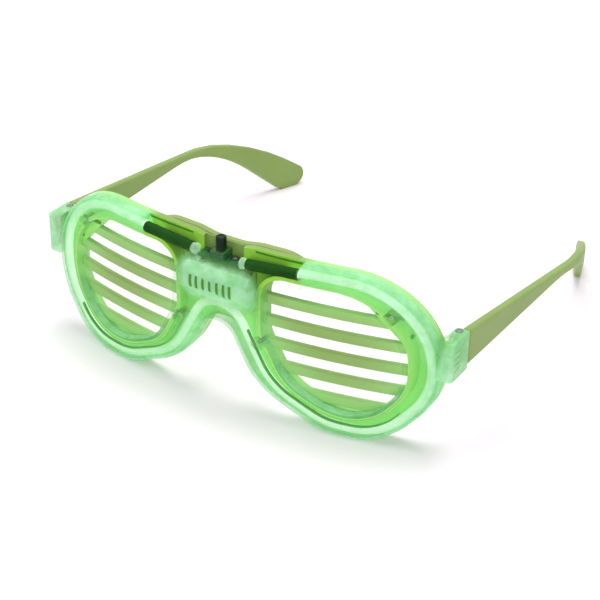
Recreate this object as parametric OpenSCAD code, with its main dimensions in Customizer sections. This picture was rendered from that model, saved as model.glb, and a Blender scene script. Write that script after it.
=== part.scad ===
// LED shutter glasses: a clear lit front over a slatted frame, with two folding temples.
// The front faces -Y, the temples run to +Y, and the rims and the temple tips stand on z = 0.

/* [Front] */
// Width across both rims, without the endpieces
front_w = 142.8; // [138:0.2:150]
// Height of the rims
front_h = 57; // [55:0.5:62]
// Radius of the front's curve round the face, at its front surface
wrap_r = 212; // [190:1:260]
// Depth of the clear shell from its face to its back edge
shell_depth = 5.6; // [5.5:0.1:7]
// Thickness of the clear shell's face
face_t = 1.2; // [0.9:0.1:1.5]
// Thickness of the clear shell's walls
wall_t = 1.2; // [0.9:0.1:1.5]
// Thickness of the shutter frame's plate
plate_t = 2.4; // [2.3:0.1:3.5]

/* [Eye openings] */
// Distance of each opening's inner side from the middle
eye_in = 16.8; // [16.2:0.1:19]
// Width of the rim above the opening
rim_top = 7.4; // [6.8:0.1:9]
// Width of the rim at the upper outer corner
rim_corner = 9.2; // [8.8:0.1:10.5]
// Width of the rim at the outer side
rim_side = 10.2; // [8:0.1:13]
// Width of the rim at the lower outer corner
rim_foot = 9.6; // [8:0.1:11]
// Width of the rim below the opening
rim_bottom = 8.4; // [7:0.1:10]
// Width of the rim at the lower inner side
rim_inner = 8.2; // [7.4:0.1:9]
// Width of the rim beside the nose
rim_nose = 11.3; // [11:0.1:13]

/* [Slats] */
// Number of slats in front of each eye
slat_count = 5; // [3:1:6]
// Middle of the lowest slat above the opening's lower edge
slat_low = 2.4; // [2:0.1:5]
// Middle of the highest slat below the opening's upper edge
slat_high = 8; // [6:0.1:8.5]
// Height of one slat
slat_h = 3.5; // [1.6:0.1:4]
// Depth of one slat from front to back
slat_t = 2.2; // [2:0.1:2.6]

/* [Light] */
// Diameter of the light pipe
pipe_d = 2.8; // [2.2:0.1:3]
// Outer diameter of the black sleeves
sleeve_d = 3.6; // [3.4:0.1:4]
// Distance of each sleeve's inner end from the middle
sleeve_in = 10; // [9.6:0.1:12]
// Length of the sleeves
sleeve_l = 18.2; // [14:0.2:20]
// Diameter of the lamps
led_d = 3; // [2.8:0.1:3.1]

/* [Bridge] */
// Diameter of a button cell
cell_d = 11.6; // [10.6:0.1:12]
// Thickness of a button cell
cell_t = 5.4; // [4:0.1:5.6]
// How far the battery bulge stands out of the face
bulge_proud = 2.5; // [1.6:0.1:3.5]
// Thickness of the circuit board
board_t = 0.8; // [0.6:0.1:1.2]
// Width of the square switch body
switch_w = 5; // [4.8:0.1:5.2]
// Height of the switch body
switch_h = 2.55; // [2.4:0.05:3]
// Diameter of the push button
button_d = 3.4; // [2.6:0.1:3.6]
// Height of the push button above the bridge
button_proud = 2.6; // [1.5:0.1:4]
// Travel of the push button
button_travel = 0.4; // [0.3:0.05:0.5]

/* [Hinges] */
// How far each endpiece stands out of the rim
end_out = 4.6; // [4.4:0.1:6]
// Height of the endpiece's lower edge
end_z = 27; // [24:0.5:30]
// Height of the endpiece
end_h = 13.5; // [12:0.5:15]
// Thickness of each hinge ear
ear_t = 3; // [2:0.1:3.5]
// Diameter of the hinge screw
pin_d = 1.4; // [1.2:0.1:1.6]
// Diameter of the temple's knuckle
knuckle_d = 3.2; // [3:0.1:3.4]

/* [Temples] */
// Distance from the middle to the tip's outer face
tip_x = 61.4; // [56:0.2:68]
// Depth from the bridge's face to the end of the temples
temple_end_y = 150.2; // [140:0.2:165]
// Thickness of a temple
temple_t = 2.8; // [2.2:0.1:3.2]
// Height of the temple at its hinge end
root_h = 12.1; // [11:0.1:13]
// Height of the temple's top edge above the endpiece's lower edge
root_rise = 13.4; // [12.5:0.1:13.5]
// Radius of the rounded tip
tip_r = 4.5; // [3:0.1:5]

/* [Hidden] */

// Facets round small, large and the wrap's circles
facets = 48;
facets_large = 96;
facets_wrap = 720;

// Clearances
seam = 0.05;
snug = 0.1;
easy = 0.3;

// Rounded corners of the front's outline, from the middle of the brow to the nose arch
brow_in = 17;
brow_drop = 17.4;
cheek_z = 18;
foot_out = 14.9;
foot_in = 34.4;
nose_x = 13.8;
nose_z = 11.2;
arch_x = 4.2;
dip = 1;
dip_half = 6;
dip_run = 5;

// Heights in the bridge, worked out from the brow down
top_in_z = front_h - dip - wall_t;
switch_room = 0.7;
switch_top_z = top_in_z - switch_room;
board_top_z = switch_top_z - switch_h;
board_z = board_top_z - board_t;
strip_room = 0.95;
strip_t = 0.3;
cell_z = board_z - strip_room - cell_d / 2;
cell_to_pipe = 0.9;
pipe_arch_z = cell_z - cell_d / 2 - cell_to_pipe - pipe_d / 2;
arch_margin = 6.2;
arch_z = pipe_arch_z - arch_margin;

// Depths in the bridge
bulge_t = 1.1;
cell_gap = 0.3;
cell_y = -bulge_proud + bulge_t + cell_gap + cell_d / 2;
bore_r = cell_d / 2 + cell_gap;
bulge_r = bore_r + bulge_t;
front_depth = shell_depth + plate_t;
pipe_depth = face_t + snug + sleeve_d / 2;
pipe_margin = wall_t + 0.15 + pipe_d / 2;
nose_margin = 4.4;
electronics_y = 4.3;
pocket_back = 0.9;

// Hinges
end_x = front_w / 2 + end_out;
cover_t = 1;
pin_x = end_x - cover_t - snug - knuckle_d / 2;
neck_in = 0.6;
rim_back_y = wrap_y(front_w / 2, front_depth);
pin_y = rim_back_y + easy + neck_in;
neck_l = 2.3;
joint_y = pin_y + neck_l;
end_front_y = wrap_y(front_w / 2, 0) + 0.4;
end_top_z = end_z + end_h;
knuckle_z = end_z + ear_t + snug;
knuckle_h = end_h - 2 * ear_t - 2 * snug;

// Temples
root_top_z = end_z + root_rise;
bow_back = 42.6;
bow_x = end_x + 2.4;
bow_r = 60;
bend_back = 26.7;
bend_rise = 26.5;
heel_back = 41.8;
sole_back = 10.5;
tip_reach = 9.1;
slice = 0.02;

// The model's origin is under the middle of the whole object
overall_back_y = temple_end_y;
overall_front_y = -bulge_proud;
mid_y = (overall_back_y + overall_front_y) / 2;

// Height field of the wrap: the y of the surface at a depth behind the front face
function wrap_y(x, depth) = wrap_r - sqrt(pow(wrap_r - depth, 2) - x * x);
function on_wrap(p, depth) = [p[0], wrap_y(p[0], depth), p[1]];

// Rounds the corners [x, y, radius] of a path
function unit(v) = v / norm(v);
function turned(v, a) = [v[0] * cos(a) - v[1] * sin(a), v[0] * sin(a) + v[1] * cos(a)];
function corner(a, b, c, r, step) =
    let (u = unit(a - b), v = unit(c - b), half = acos(max(-1, min(1, u * v))) / 2)
    r <= 0 || half > 89.9 ? [b] :
    let (centre = b + unit(u + v) * (r / sin(half)), start = b + u * (r / tan(half)) - centre,
         sweep = 180 - 2 * half, way = cross([u[0], u[1], 0], [v[0], v[1], 0])[2] > 0 ? -1 : 1,
         count = max(2, ceil(sweep / step)))
    [for (i = [0 : count]) centre + turned(start, way * sweep * i / count)];
function xy(p) = [p[0], p[1]];
// Length of a side that each corner's rounding takes up, and the radii that fit their sides
function taken(c, i) = c[i][2] <= 0 ? 0 :
    let (n = len(c), u = unit(xy(c[(i + n - 1) % n]) - xy(c[i])), v = unit(xy(c[(i + 1) % n]) - xy(c[i])))
    c[i][2] / tan(max(1, acos(max(-1, min(1, u * v))) / 2));
function fitted(c) =
    let (n = len(c), room = [for (i = [0 : n - 1])
        0.99 * norm(xy(c[(i + 1) % n]) - xy(c[i])) / max(0.001, taken(c, i) + taken(c, (i + 1) % n))])
    [for (i = [0 : n - 1]) [c[i][0], c[i][1], c[i][2] * min(1, room[i], room[(i + n - 1) % n])]];
function rounded(corners, step = 7.5) = let (c = fitted(corners), n = len(c))
    [for (i = [0 : n - 1]) each corner(xy(c[(i + n - 1) % n]), xy(c[i]), xy(c[(i + 1) % n]), c[i][2], step)];
function rounded_path(corners, step) = let (c = fitted(corners), n = len(c))
    [for (i = [0 : n - 1]) each i == 0 || i == n - 1 ? [xy(c[i])]
        : corner(xy(c[i - 1]), xy(c[i]), xy(c[i + 1]), c[i][2], step)];

// Moves each side of a clockwise outline inwards; margins[i] is for the side that leaves corner i
function inset(c, margins) = let (n = len(c))
    [for (i = [0 : n - 1])
        let (before = xy(c[(i + n - 1) % n]), here = xy(c[i]), after = xy(c[(i + 1) % n]),
             e1 = unit(here - before), e2 = unit(after - here), turn = e1[0] * e2[1] - e1[1] * e2[0],
             d1 = margins[(i + n - 1) % n], d2 = margins[i],
             moved = here + (d2 * e1 - d1 * e2) / turn)
        [moved[0], moved[1], max(0.4, c[i][2] + sign(turn) * (d1 + d2) / 2)]];
function reversed(v) = [for (i = [len(v) - 1 : -1 : 0]) v[i]];
function mirrored(v) = [for (p = reversed(v)) [-p[0], p[1], p[2]]];

// Outline of the front seen from the front, clockwise from the brow's middle
half_outline = [[dip_half, front_h - dip, 5], [dip_half + dip_run, front_h, 8],
                [front_w / 2 - brow_in, front_h, 44], [front_w / 2, front_h - brow_drop, 44],
                [front_w / 2, cheek_z, 36], [front_w / 2 - foot_out, 0, 22], [front_w / 2 - foot_in, 0, 26],
                [nose_x, nose_z, 27], [arch_x, arch_z, 5.7]];
outline = concat(half_outline, mirrored(half_outline));
function margins(side, nose, arch) = let (half = [side, side, side, side, side, side, side, nose])
    concat(half, [arch], reversed(half), [side]);
function rim_inset(d) = inset(outline, margins(d, d, d));

// Opening in front of the left eye, clockwise; grow makes it larger all round
eye_radii = [7, 22, 18, 16, 18, 25, 18, 8];
function eye(grow) =
    let (sides = [[0, front_h, 1], half_outline[2], half_outline[3], half_outline[4], half_outline[5],
                  half_outline[6], half_outline[7],
                  [0, nose_z + (arch_z - nose_z) * nose_x / (nose_x - arch_x), 1]],
         widths = [rim_top, rim_corner, rim_side, rim_foot, rim_bottom, rim_inner, rim_nose, eye_in],
         inner = inset(sides, [for (w = widths) w - grow]))
    [for (i = [0 : len(inner) - 1]) [inner[i][0], inner[i][1], eye_radii[i] + grow]];

// Screw posts: beside the nose and at the upper outer corner of each opening
nose_run = 7.8;
nose_post_to_eye = 3.25;
nose_side = unit([nose_x - arch_x, nose_z - arch_z]);
nose_post = [arch_x, arch_z] + nose_side * nose_run
    + [-nose_side[1], nose_side[0]] * (rim_nose - nose_post_to_eye);
brow_run = 9.9;
brow_post_to_eye = 2.5;
brow_side = unit([brow_in, -brow_drop]);
brow_down = [brow_side[1], -brow_side[0]];
brow_post = [front_w / 2 - brow_in, front_h] + brow_side * brow_run
    + brow_down * (rim_corner - brow_post_to_eye);
posts = [nose_post, brow_post];
post_radii = [1.9, 1.55];
screw_r = 0.7;
head_r = 1.3;
head_t = 0.8;
head_sink = 0.6;
door_post = [0, pipe_arch_z - 0.5];
door_post_r = 1.9;
door_boss = 0.9;
door_screw_past = 0.7;

// Web across the upper outer corner of each opening, with two small holes
web_reach = 1.9;
web_in = rim_corner + web_reach;
web_hole_r = 0.5;
web_hole_edge = 0.7;
web_hole_runs = [5.2, 16];
hole_grow = 1;

module seated() translate([0, -mid_y, 0]) children();
module both_sides() { children(); mirror([1, 0, 0]) children(); }

// Layer of the wrapped front between two depths
module layer(front, back) translate([0, wrap_r, 0]) difference() {
    cylinder(r = wrap_r - front, h = front_h + 10, $fn = facets_wrap);
    translate([0, 0, -1]) cylinder(r = wrap_r - back, h = front_h + 12, $fn = facets_wrap);
}
// Stands an outline drawn in x and z up and runs it through the front
module through(from = -10, to = 40) translate([0, to, 0]) rotate([90, 0, 0])
    linear_extrude(to - from) children();
module wrapped(front, back) intersection() {
    layer(front, back);
    through() children();
}
module along_x(from, to, r) translate([from, cell_y, cell_z]) rotate([0, 90, 0])
    cylinder(r = r, h = to - from, $fn = facets_large);
module along_y(p, from, to, r) translate([p[0], to, p[1]]) rotate([90, 0, 0])
    cylinder(r = r, h = to - from, $fn = facets);
module both_eyes(grow = 0) { polygon(rounded(eye(grow))); mirror([1, 0]) polygon(rounded(eye(grow))); }
module post_circles(grow = 0) both_sides() for (i = [0, 1])
    translate(posts[i]) circle(r = post_radii[i] + grow, $fn = facets);
web_back = 20;
web_run = 60;
module web(grow = 0) both_sides() translate([front_w / 2 - brow_in, front_h])
    rotate(atan2(brow_side[1], brow_side[0])) translate([-web_back, -web_in - grow])
        square([web_run, web_in + grow]);
module frame_eyes() difference() {
    both_eyes(hole_grow);
    difference() {
        web();
        both_sides() for (run = web_hole_runs) translate([front_w / 2 - brow_in, front_h] + brow_side * run
            + brow_down * (web_in - web_hole_r - web_hole_edge)) circle(r = web_hole_r, $fn = facets);
    }
}

// Battery space
stack_x = -2 * cell_t;
stack_end = stack_x + 3 * cell_t;
spring_room = 6.1;
contact_t = 0.3;
right_contact_x = stack_x - contact_t - seam;
left_contact_x = stack_end + spring_room;
space_in = right_contact_x - seam;
space_out = left_contact_x + contact_t + seam;

// Clear shell
eye_wall_depth = 3.9;
module front_shell() color([0.55, 0.96, 0.62, 0.5]) seated() {
    difference() {
        union() {
            wrapped(0, face_t) difference() { polygon(rounded(outline)); both_eyes(); }
            wrapped(0, shell_depth) difference() {
                polygon(rounded(outline));
                polygon(rounded(rim_inset(wall_t)));
            }
            wrapped(0, eye_wall_depth) difference() { both_eyes(wall_t); both_eyes(); }
            wrapped(face_t / 2, shell_depth) post_circles();
            intersection() {
                along_x(space_in - bulge_t, space_out + bulge_t, bulge_r);
                translate([space_in - bulge_t, -2 * bulge_r, 0])
                    cube([space_out - space_in + 2 * bulge_t, 2 * bulge_r + face_t / 2, front_h]);
            }
            endpiece();
            mirror([1, 0, 0]) endpiece();
        }
        along_x(space_in, space_out, bore_r);
        both_sides() for (p = posts) along_y(p, wrap_y(p[0], face_t) + 0.8, 40, screw_r + seam);
        translate([0, electronics_y, top_in_z - 1]) cylinder(d = button_d + 3 * snug, h = 5, $fn = facets);
        both_sides() translate([pin_x, pin_y, end_z + 0.4]) {
            cylinder(d = pin_d + 2 * 0.02, h = end_h, $fn = facets);
            translate([0, 0, end_h - 0.4 - pin_head_t]) cylinder(r = pin_head_r + seam, h = 5, $fn = facets);
        }
    }
}
pin_head_r = 1.25;
pin_head_t = 0.8;

// Clear endpiece: block, two hinge ears and a cover over the knuckle
tab_y = wrap_y(front_w / 2, shell_depth) + seam;
ear_r = 1.8;
ear_in_x = pin_x - ear_r;
end_inwards = 8;
end_front_r = 2.5;
module endpiece() difference() {
    translate([0, 0, end_z]) linear_extrude(end_h) polygon(rounded([
        [front_w / 2 - end_inwards, end_front_y, 0], [front_w / 2 - end_inwards, tab_y + 1, 0],
        [ear_in_x, tab_y + 1, 0], [ear_in_x, joint_y - easy, ear_r], [end_x, joint_y - easy, 0],
        [end_x, end_front_y, end_front_r]]));
    through() polygon(rounded(rim_inset(wall_t / 2)));
    wrapped(shell_depth - easy, shell_depth + 20) polygon(rounded(rim_inset(-snug)));
    translate([0, tab_y - snug, end_z + ear_t]) cube([end_x - cover_t, 40, end_h - 2 * ear_t]);
}

// Olive frame behind the shell, with the slats; their ends reach into the plate
slat_depth = 4.2;
slat_hold = 0.9;
slat_pitch = (front_h - rim_top - rim_bottom - slat_low - slat_high) / max(1, slat_count - 1);
module shutter_frame() color([0.55, 0.66, 0.36]) seated() difference() {
    union() {
        wrapped(shell_depth + seam, front_depth) difference() {
            polygon(rounded(outline));
            frame_eyes();
        }
        wrapped(eye_wall_depth + snug, shell_depth + snug) difference() {
            intersection() {
                both_eyes(hole_grow);
                web();
            }
            frame_eyes();
            post_circles(snug);
        }
        wrapped(slat_depth, slat_depth + slat_t) intersection() {
            difference() { both_eyes(hole_grow + slat_hold); post_circles(snug); }
            for (i = [0 : slat_count - 1])
                translate([-front_w / 2, rim_bottom + slat_low + i * slat_pitch - slat_h / 2])
                    square([front_w, slat_h]);
        }
        nose_flange();
        wrapped(shell_depth - door_boss, shell_depth + snug) translate(door_post)
            circle(r = door_post_r, $fn = facets);
        both_sides() translate([front_w / 2 - 1, tab_y, knuckle_z])
            cube([end_x - cover_t - snug - front_w / 2 + 1, pin_y - knuckle_d / 2 - easy - tab_y, knuckle_h]);
    }
    along_x(space_in - seam, space_out + seam, bore_r - snug);
    wrapped(0, front_depth - pocket_back) translate([-board_half - snug, board_z - seam])
        square([2 * (board_half + snug), front_h]);
    both_sides() for (p = posts) {
        along_y(p, 0, 40, screw_r + snug);
        along_y(p, wrap_y(p[0], front_depth) - head_sink, 40, head_r + snug);
    }
    along_y(door_post, 0, 40, screw_r + seam);
}
module nose_flange() intersection() {
    layer(front_depth - snug, front_depth + 3.5);
    through() difference() { polygon(rounded(rim_inset(0.3))); polygon(rounded(rim_inset(2))); }
    translate([-nose_x - 2, -10, nose_z - 2]) cube([2 * nose_x + 4, 60, arch_z - nose_z + 5]);
}

// Light pipe: swept along the inset outline
led_x = sleeve_in - 2;
sleeve_z = board_top_z + 0.55;
sleeve_bend = 4.8;
pipe_corners = let (rim = inset(outline, margins(pipe_margin, nose_margin, arch_margin)),
                    bend = sleeve_in + sleeve_l + sleeve_bend, count = len(half_outline),
                    half = [for (i = [2 : count - 1]) rim[i]])
    concat([[led_x, sleeve_z, 0], [bend, rim[1][1], 30]], half,
           mirrored(concat([[led_x, sleeve_z, 0], [bend, rim[1][1], 30]], half)));
pipe_line = [for (p = rounded_path(pipe_corners, 9)) on_wrap(p, pipe_depth)];
sleeve_dir = unit(pipe_line[1] - pipe_line[0]);
led_l = 5.2;
pipe_start = pipe_line[0] + sleeve_dir * (led_l + 1.2);
pipe_end = [-pipe_start[0], pipe_start[1], pipe_start[2]];
pipe_count = len(pipe_line);
pipe_path = concat([pipe_start], [for (i = [1 : pipe_count - 2]) pipe_line[i]], [pipe_end]);

// Tube along a path: one ring of points for each path point, square to the path there
function cross3(a, b) = [a[1] * b[2] - a[2] * b[1], a[2] * b[0] - a[0] * b[2], a[0] * b[1] - a[1] * b[0]];
function tangent(path, i) = unit(path[min(i + 1, len(path) - 1)] - path[max(i - 1, 0)]);
function ring(p, t, ref, r, sides) = let (u = unit(cross3(t, ref)), v = cross3(u, t))
    [for (k = [0 : sides - 1]) p + r * (u * cos(360 * k / sides) + v * sin(360 * k / sides))];
module tube(path, r, sides, refs) {
    rings = len(path);
    points = [for (i = [0 : rings - 1]) each ring(path[i], tangent(path, i), refs[i], r, sides)];
    polyhedron(points, concat(
        [for (k = [1 : sides - 2]) [0, k, k + 1]],
        [for (k = [1 : sides - 2]) let (end = (rings - 1) * sides) [end, end + k + 1, end + k]],
        [for (i = [0 : rings - 2], k = [0 : sides - 1])
            let (a = i * sides + k, b = i * sides + (k + 1) % sides) [a, a + sides, b]],
        [for (i = [0 : rings - 2], k = [0 : sides - 1])
            let (a = i * sides + k, b = i * sides + (k + 1) % sides) [b, a + sides, b + sides]]));
}
module light_pipe() color([0.85, 1, 0.88]) seated()
    tube(pipe_path, pipe_d / 2, 12, [for (p = pipe_path) [0, 1, 0]]);

// Black sleeves and lamps lie on the pipe's first straight stretch
module on_sleeve_axis() translate(pipe_line[0])
    rotate([0, 90 - asin(sleeve_dir[2]), atan2(sleeve_dir[1], sleeve_dir[0])]) children();
module sleeve() on_sleeve_axis() translate([0, 0, sleeve_in - led_x]) difference() {
    cylinder(d = sleeve_d, h = sleeve_l, $fn = facets);
    translate([0, 0, -1]) cylinder(d = max(led_d, pipe_d) + snug, h = sleeve_l + 2, $fn = facets);
}
module left_sleeve() color([0.03, 0.12, 0.02]) seated() sleeve();
module right_sleeve() color([0.03, 0.12, 0.02]) seated() mirror([1, 0, 0]) sleeve();

flange_t = 1;
lead_w = 0.5;
lead_pitch = 2.54;
module lamp() on_sleeve_axis() {
    rotate_extrude($fn = facets) polygon(concat([[0, 0], [sleeve_d / 2, 0], [sleeve_d / 2, flange_t],
        [led_d / 2, flange_t], [led_d / 2, led_l - led_d / 2]],
        [for (a = [15 : 15 : 90]) [led_d / 2 * cos(a), led_l - led_d / 2 + led_d / 2 * sin(a)]]));
    for (side = [-1, 1]) translate([-lead_w / 2, side * lead_pitch / 2 - lead_w / 2, -1.7])
        cube([lead_w, lead_w, 1.7]);
}
module left_led() color([0.9, 1, 0.9]) seated() lamp();
module right_led() color([0.9, 1, 0.9]) seated() mirror([1, 0, 0]) lamp();

// Board, chip, resistor, switch and button
board_half = 7.2;
board_front = face_t + 0.7;
board_back = front_depth - pocket_back - 0.3;
chip_away = 1.9;
chip_r = 1.4;
chip_t = 0.9;
resistor_size = [2, 1.25, 0.55];
module circuit_board() color([0.1, 0.35, 0.16]) seated()
    translate([-board_half, board_front, board_z]) cube([2 * board_half, board_back - board_front, board_t]);
module control_chip() color([0.06, 0.06, 0.06]) seated()
    translate([switch_w / 2 + chip_away, board_back - 1.6, board_top_z]) intersection() {
        cylinder(r = chip_r, h = chip_t, $fn = facets);
        translate([0, 0, -1.2]) sphere(r = 2, $fn = facets);
    }
module resistor() color([0.2, 0.2, 0.22]) seated()
    translate([-switch_w / 2 - 2.9, board_back - 2.2, board_top_z]) cube(resistor_size);

collar_t = 0.55;
collar_r = button_d / 2 + 0.25;
lid_t = 0.5;
button_edge = 0.4;
module switch_body() color([0.05, 0.2, 0.08]) seated()
    translate([0, electronics_y, board_top_z]) difference() {
        translate([-switch_w / 2, -switch_w / 2, 0]) cube([switch_w, switch_w, switch_h]);
        translate([0, 0, switch_h - lid_t - snug - collar_t - button_travel - 2 * snug])
            cylinder(r = collar_r + snug, h = collar_t + button_travel + 3 * snug, $fn = facets);
        cylinder(d = button_d + snug, h = switch_h + 1, $fn = facets);
    }
module push_button() color([0.02, 0.03, 0.02]) seated() translate([0, electronics_y, 0]) {
    collar_z = switch_top_z - lid_t - snug - collar_t;
    top_z = front_h - dip + button_proud;
    translate([0, 0, collar_z]) cylinder(r = collar_r, h = collar_t, $fn = facets);
    translate([0, 0, collar_z + collar_t / 2])
        cylinder(d = button_d, h = top_z - collar_z - collar_t / 2 - button_edge, $fn = facets);
    translate([0, 0, top_z - button_edge])
        cylinder(d1 = button_d, d2 = button_d - 2 * button_edge, h = button_edge, $fn = facets);
}

// Button cells stand in a row along x
cap_t = 1.1;
cap_r = cell_d / 2 - 0.9;
cap_groove = 0.2;
cell_edge = 0.3;
module cell(i) color([0.75, 0.78, 0.78]) seated()
    translate([stack_x + i * cell_t, cell_y, cell_z]) rotate([0, 90, 0]) rotate_extrude($fn = facets_large)
        polygon([[0, 0], [cell_d / 2 - cell_edge, 0], [cell_d / 2, cell_edge],
                 [cell_d / 2, cell_t - cap_t - cell_edge], [cell_d / 2 - cell_edge, cell_t - cap_t],
                 [cap_r + cap_groove, cell_t - cap_t], [cap_r + cap_groove, cell_t - cap_t - cell_edge],
                 [cap_r, cell_t - cap_t - cell_edge], [cap_r, cell_t - cell_edge],
                 [cap_r - cell_edge, cell_t], [0, cell_t]]);
module right_cell() cell(0);
module middle_cell() cell(1);
module left_cell() cell(2);

// Contact plates, each with a strip that runs under the board
contact_r = bore_r - 0.9;
strip_y = cell_y - 0.28;
strip_w = 1.2;
strip_under = 1.5;
module contact(x, way) {
    strip_top = board_z - snug;
    translate([x, 0, 0]) {
        along_x(0, contact_t, contact_r);
        translate([0, strip_y, cell_z + contact_r - 1])
            cube([contact_t, strip_w, strip_top - cell_z - contact_r + 1]);
        reach = abs(x) - board_half + strip_under;
        translate([way > 0 ? 0 : contact_t - reach, strip_y, strip_top - strip_t])
            cube([reach, strip_w, strip_t]);
    }
}
module right_contact() color([0.8, 0.8, 0.75]) seated() contact(right_contact_x, 1);
module left_contact() color([0.8, 0.8, 0.75]) seated() contact(left_contact_x, -1);

// Contact spring: one unbroken wire with straight ends
spring_wire = 0.6;
spring_r = 3;
spring_curls = 4;
spring_rings = 8;
spring_from = stack_end + seam;
spring_to = left_contact_x - seam;
spring_run = spring_to - spring_from - 2 * spring_wire;
spring_steps = spring_curls * spring_rings;
spring_path = concat(
    [[spring_from, cell_y + spring_r, cell_z]],
    [for (i = [0 : spring_steps]) let (a = 360 * i / spring_rings)
        [spring_from + spring_wire + spring_run * i / spring_steps, cell_y + spring_r * cos(a),
         cell_z + spring_r * sin(a)]],
    [[spring_to, cell_y + spring_r, cell_z]]);
spring_refs = [for (p = spring_path) [0, p[1] - cell_y, p[2] - cell_z]];
spring_gap = min([for (i = [0 : len(spring_path) - 1], j = [i + 5 : 1 : len(spring_path) - 1])
    norm(spring_path[i] - spring_path[j])]) - spring_wire;
echo(least_gap_of_the_spring_to_itself = spring_gap);
module contact_spring() color([0.7, 0.72, 0.72]) seated() tube(spring_path, spring_wire / 2, 6, spring_refs);

// Battery door on the wearer's side
door_t = 4;
door_margin = 0.7;
tab_half = 3.4;
door_low = cell_z - bore_r - door_margin;
door_top = cell_z + bore_r + door_margin;
door_side = 1.4;
door_r = 1.5;
tab_drop = 2.2;
brow_cover_half = 29.5;
brow_cover_t = 2.4;
brow_cover_lap = 0.4;
brow_cover_low = door_top - brow_cover_lap;
module battery_door() color([0.55, 0.66, 0.36]) seated() difference() {
    union() {
        wrapped(front_depth + seam, front_depth + door_t) polygon(rounded([
            [space_in - door_side, door_top, door_r], [space_out + door_side, door_top, door_r],
            [space_out + door_side, door_low, door_r], [tab_half, door_low, 0.8],
            [tab_half, door_post[1] - tab_drop, 1], [-tab_half, door_post[1] - tab_drop, 1],
            [-tab_half, door_low, 0.8], [space_in - door_side, door_low, door_r]]));
        wrapped(front_depth + seam, front_depth + brow_cover_t) intersection() {
            polygon(rounded(rim_inset(snug)));
            translate([-brow_cover_half, brow_cover_low]) square([2 * brow_cover_half, front_h]);
        }
    }
    along_x(space_in, space_out, bore_r - seam);
    along_y(door_post, 0, 40, screw_r + snug);
    along_y(door_post, front_depth + door_t - head_t, 40, head_r + snug);
}

// Screws: pan head with a cross slot, axis along y
slot_l = 1.8;
slot_w = 0.4;
slot_deep = 0.45;
module screw(p, head_y, length) difference() {
    union() {
        along_y(p, head_y - length, head_y, screw_r);
        along_y(p, head_y, head_y + head_t, head_r);
    }
    for (turn = [0, 90]) translate([p[0], head_y + head_t - slot_deep, p[1]]) rotate([0, turn, 0])
        translate([-slot_l / 2, 0, -slot_w / 2]) cube([slot_l, head_t, slot_w]);
}
module frame_screws() color([0.62, 0.64, 0.66]) seated()
    both_sides() for (p = posts)
        screw(p, wrap_y(p[0], front_depth) - head_sink,
              wrap_y(p[0], front_depth) - head_sink - wrap_y(p[0], face_t) - 1.2);
module door_screw() color([0.62, 0.64, 0.66]) seated()
    screw(door_post, front_depth + door_t - head_t, door_t - head_t + plate_t + door_screw_past);

// Hinge screws
pin_lift = 0.5;
pin_slot_l = 3;
module hinge_pin() translate([pin_x, pin_y, end_z + pin_lift]) difference() {
    union() {
        cylinder(d = pin_d, h = end_h - pin_lift - pin_head_t / 2, $fn = facets);
        translate([0, 0, end_h - pin_lift - pin_head_t + seam])
            cylinder(r = pin_head_r, h = pin_head_t - seam, $fn = facets);
    }
    translate([-pin_slot_l / 2, -slot_w / 2, end_h - pin_lift - slot_w]) cube([pin_slot_l, slot_w, 1]);
}
module left_hinge_pin() color([0.7, 0.71, 0.72]) seated() hinge_pin();
module right_hinge_pin() color([0.7, 0.71, 0.72]) seated() mirror([1, 0, 0]) hinge_pin();

// Temples: a bowed band seen from above, cut to the profile seen from the side
bow_y = temple_end_y - bow_back;
tip_lean = (bow_x - tip_x) / bow_back;
plan_outer = [[end_x, joint_y, 0], [bow_x, bow_y, bow_r], [tip_x - tip_lean, temple_end_y + 1, 0]];
plan_inner = let (e1 = unit(xy(plan_outer[1]) - xy(plan_outer[0])),
                  e2 = unit(xy(plan_outer[2]) - xy(plan_outer[1])),
                  n1 = [-e1[1], e1[0]] * temple_t, n2 = [-e2[1], e2[0]] * temple_t,
                  turn = e1[0] * e2[1] - e1[1] * e2[0],
                  elbow = xy(plan_outer[1]) + temple_t * (e2 - e1) / turn)
    [[plan_outer[0][0] + n1[0], joint_y, 0], [elbow[0], elbow[1], bow_r - temple_t],
     [plan_outer[2][0] + n2[0], plan_outer[2][1] + n2[1], 0]];
side_profile = [[joint_y, root_top_z, 0], [temple_end_y - bend_back, bend_rise, 90],
                [temple_end_y + tip_reach, 0, tip_r], [temple_end_y - sole_back, 0, 6],
                [temple_end_y - heel_back, root_top_z - root_h, 60], [joint_y, root_top_z - root_h, 0]];
module temple() difference() {
    union() {
        intersection() {
            translate([0, 0, -1]) linear_extrude(root_top_z + 2)
                polygon(rounded(concat(plan_outer, reversed(plan_inner)), 4));
            rotate([90, 0, 90]) linear_extrude(end_x + 10) polygon(rounded(side_profile, 4));
        }
        translate([pin_x, pin_y, knuckle_z]) cylinder(d = knuckle_d, h = knuckle_h, $fn = facets);
        translate([pin_x - neck_in, pin_y, knuckle_z])
            cube([neck_in + knuckle_d / 2, neck_l + 1.5, knuckle_h]);
    }
    translate([pin_x, pin_y, 0]) cylinder(d = pin_d + 2 * seam, h = front_h, $fn = facets);
}
module left_temple() color([0.55, 0.66, 0.36]) seated() temple();
module right_temple() color([0.55, 0.66, 0.36]) seated() mirror([1, 0, 0]) temple();

front_shell();
shutter_frame();
light_pipe();
left_sleeve();
right_sleeve();
left_led();
right_led();
circuit_board();
control_chip();
resistor();
switch_body();
push_button();
left_cell();
middle_cell();
right_cell();
contact_spring();
left_contact();
right_contact();
battery_door();
door_screw();
frame_screws();
left_hinge_pin();
right_hinge_pin();
left_temple();
right_temple();
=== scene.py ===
import math

import bmesh
import bpy
from mathutils import Matrix, Vector
from mathutils.kdtree import KDTree


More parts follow.
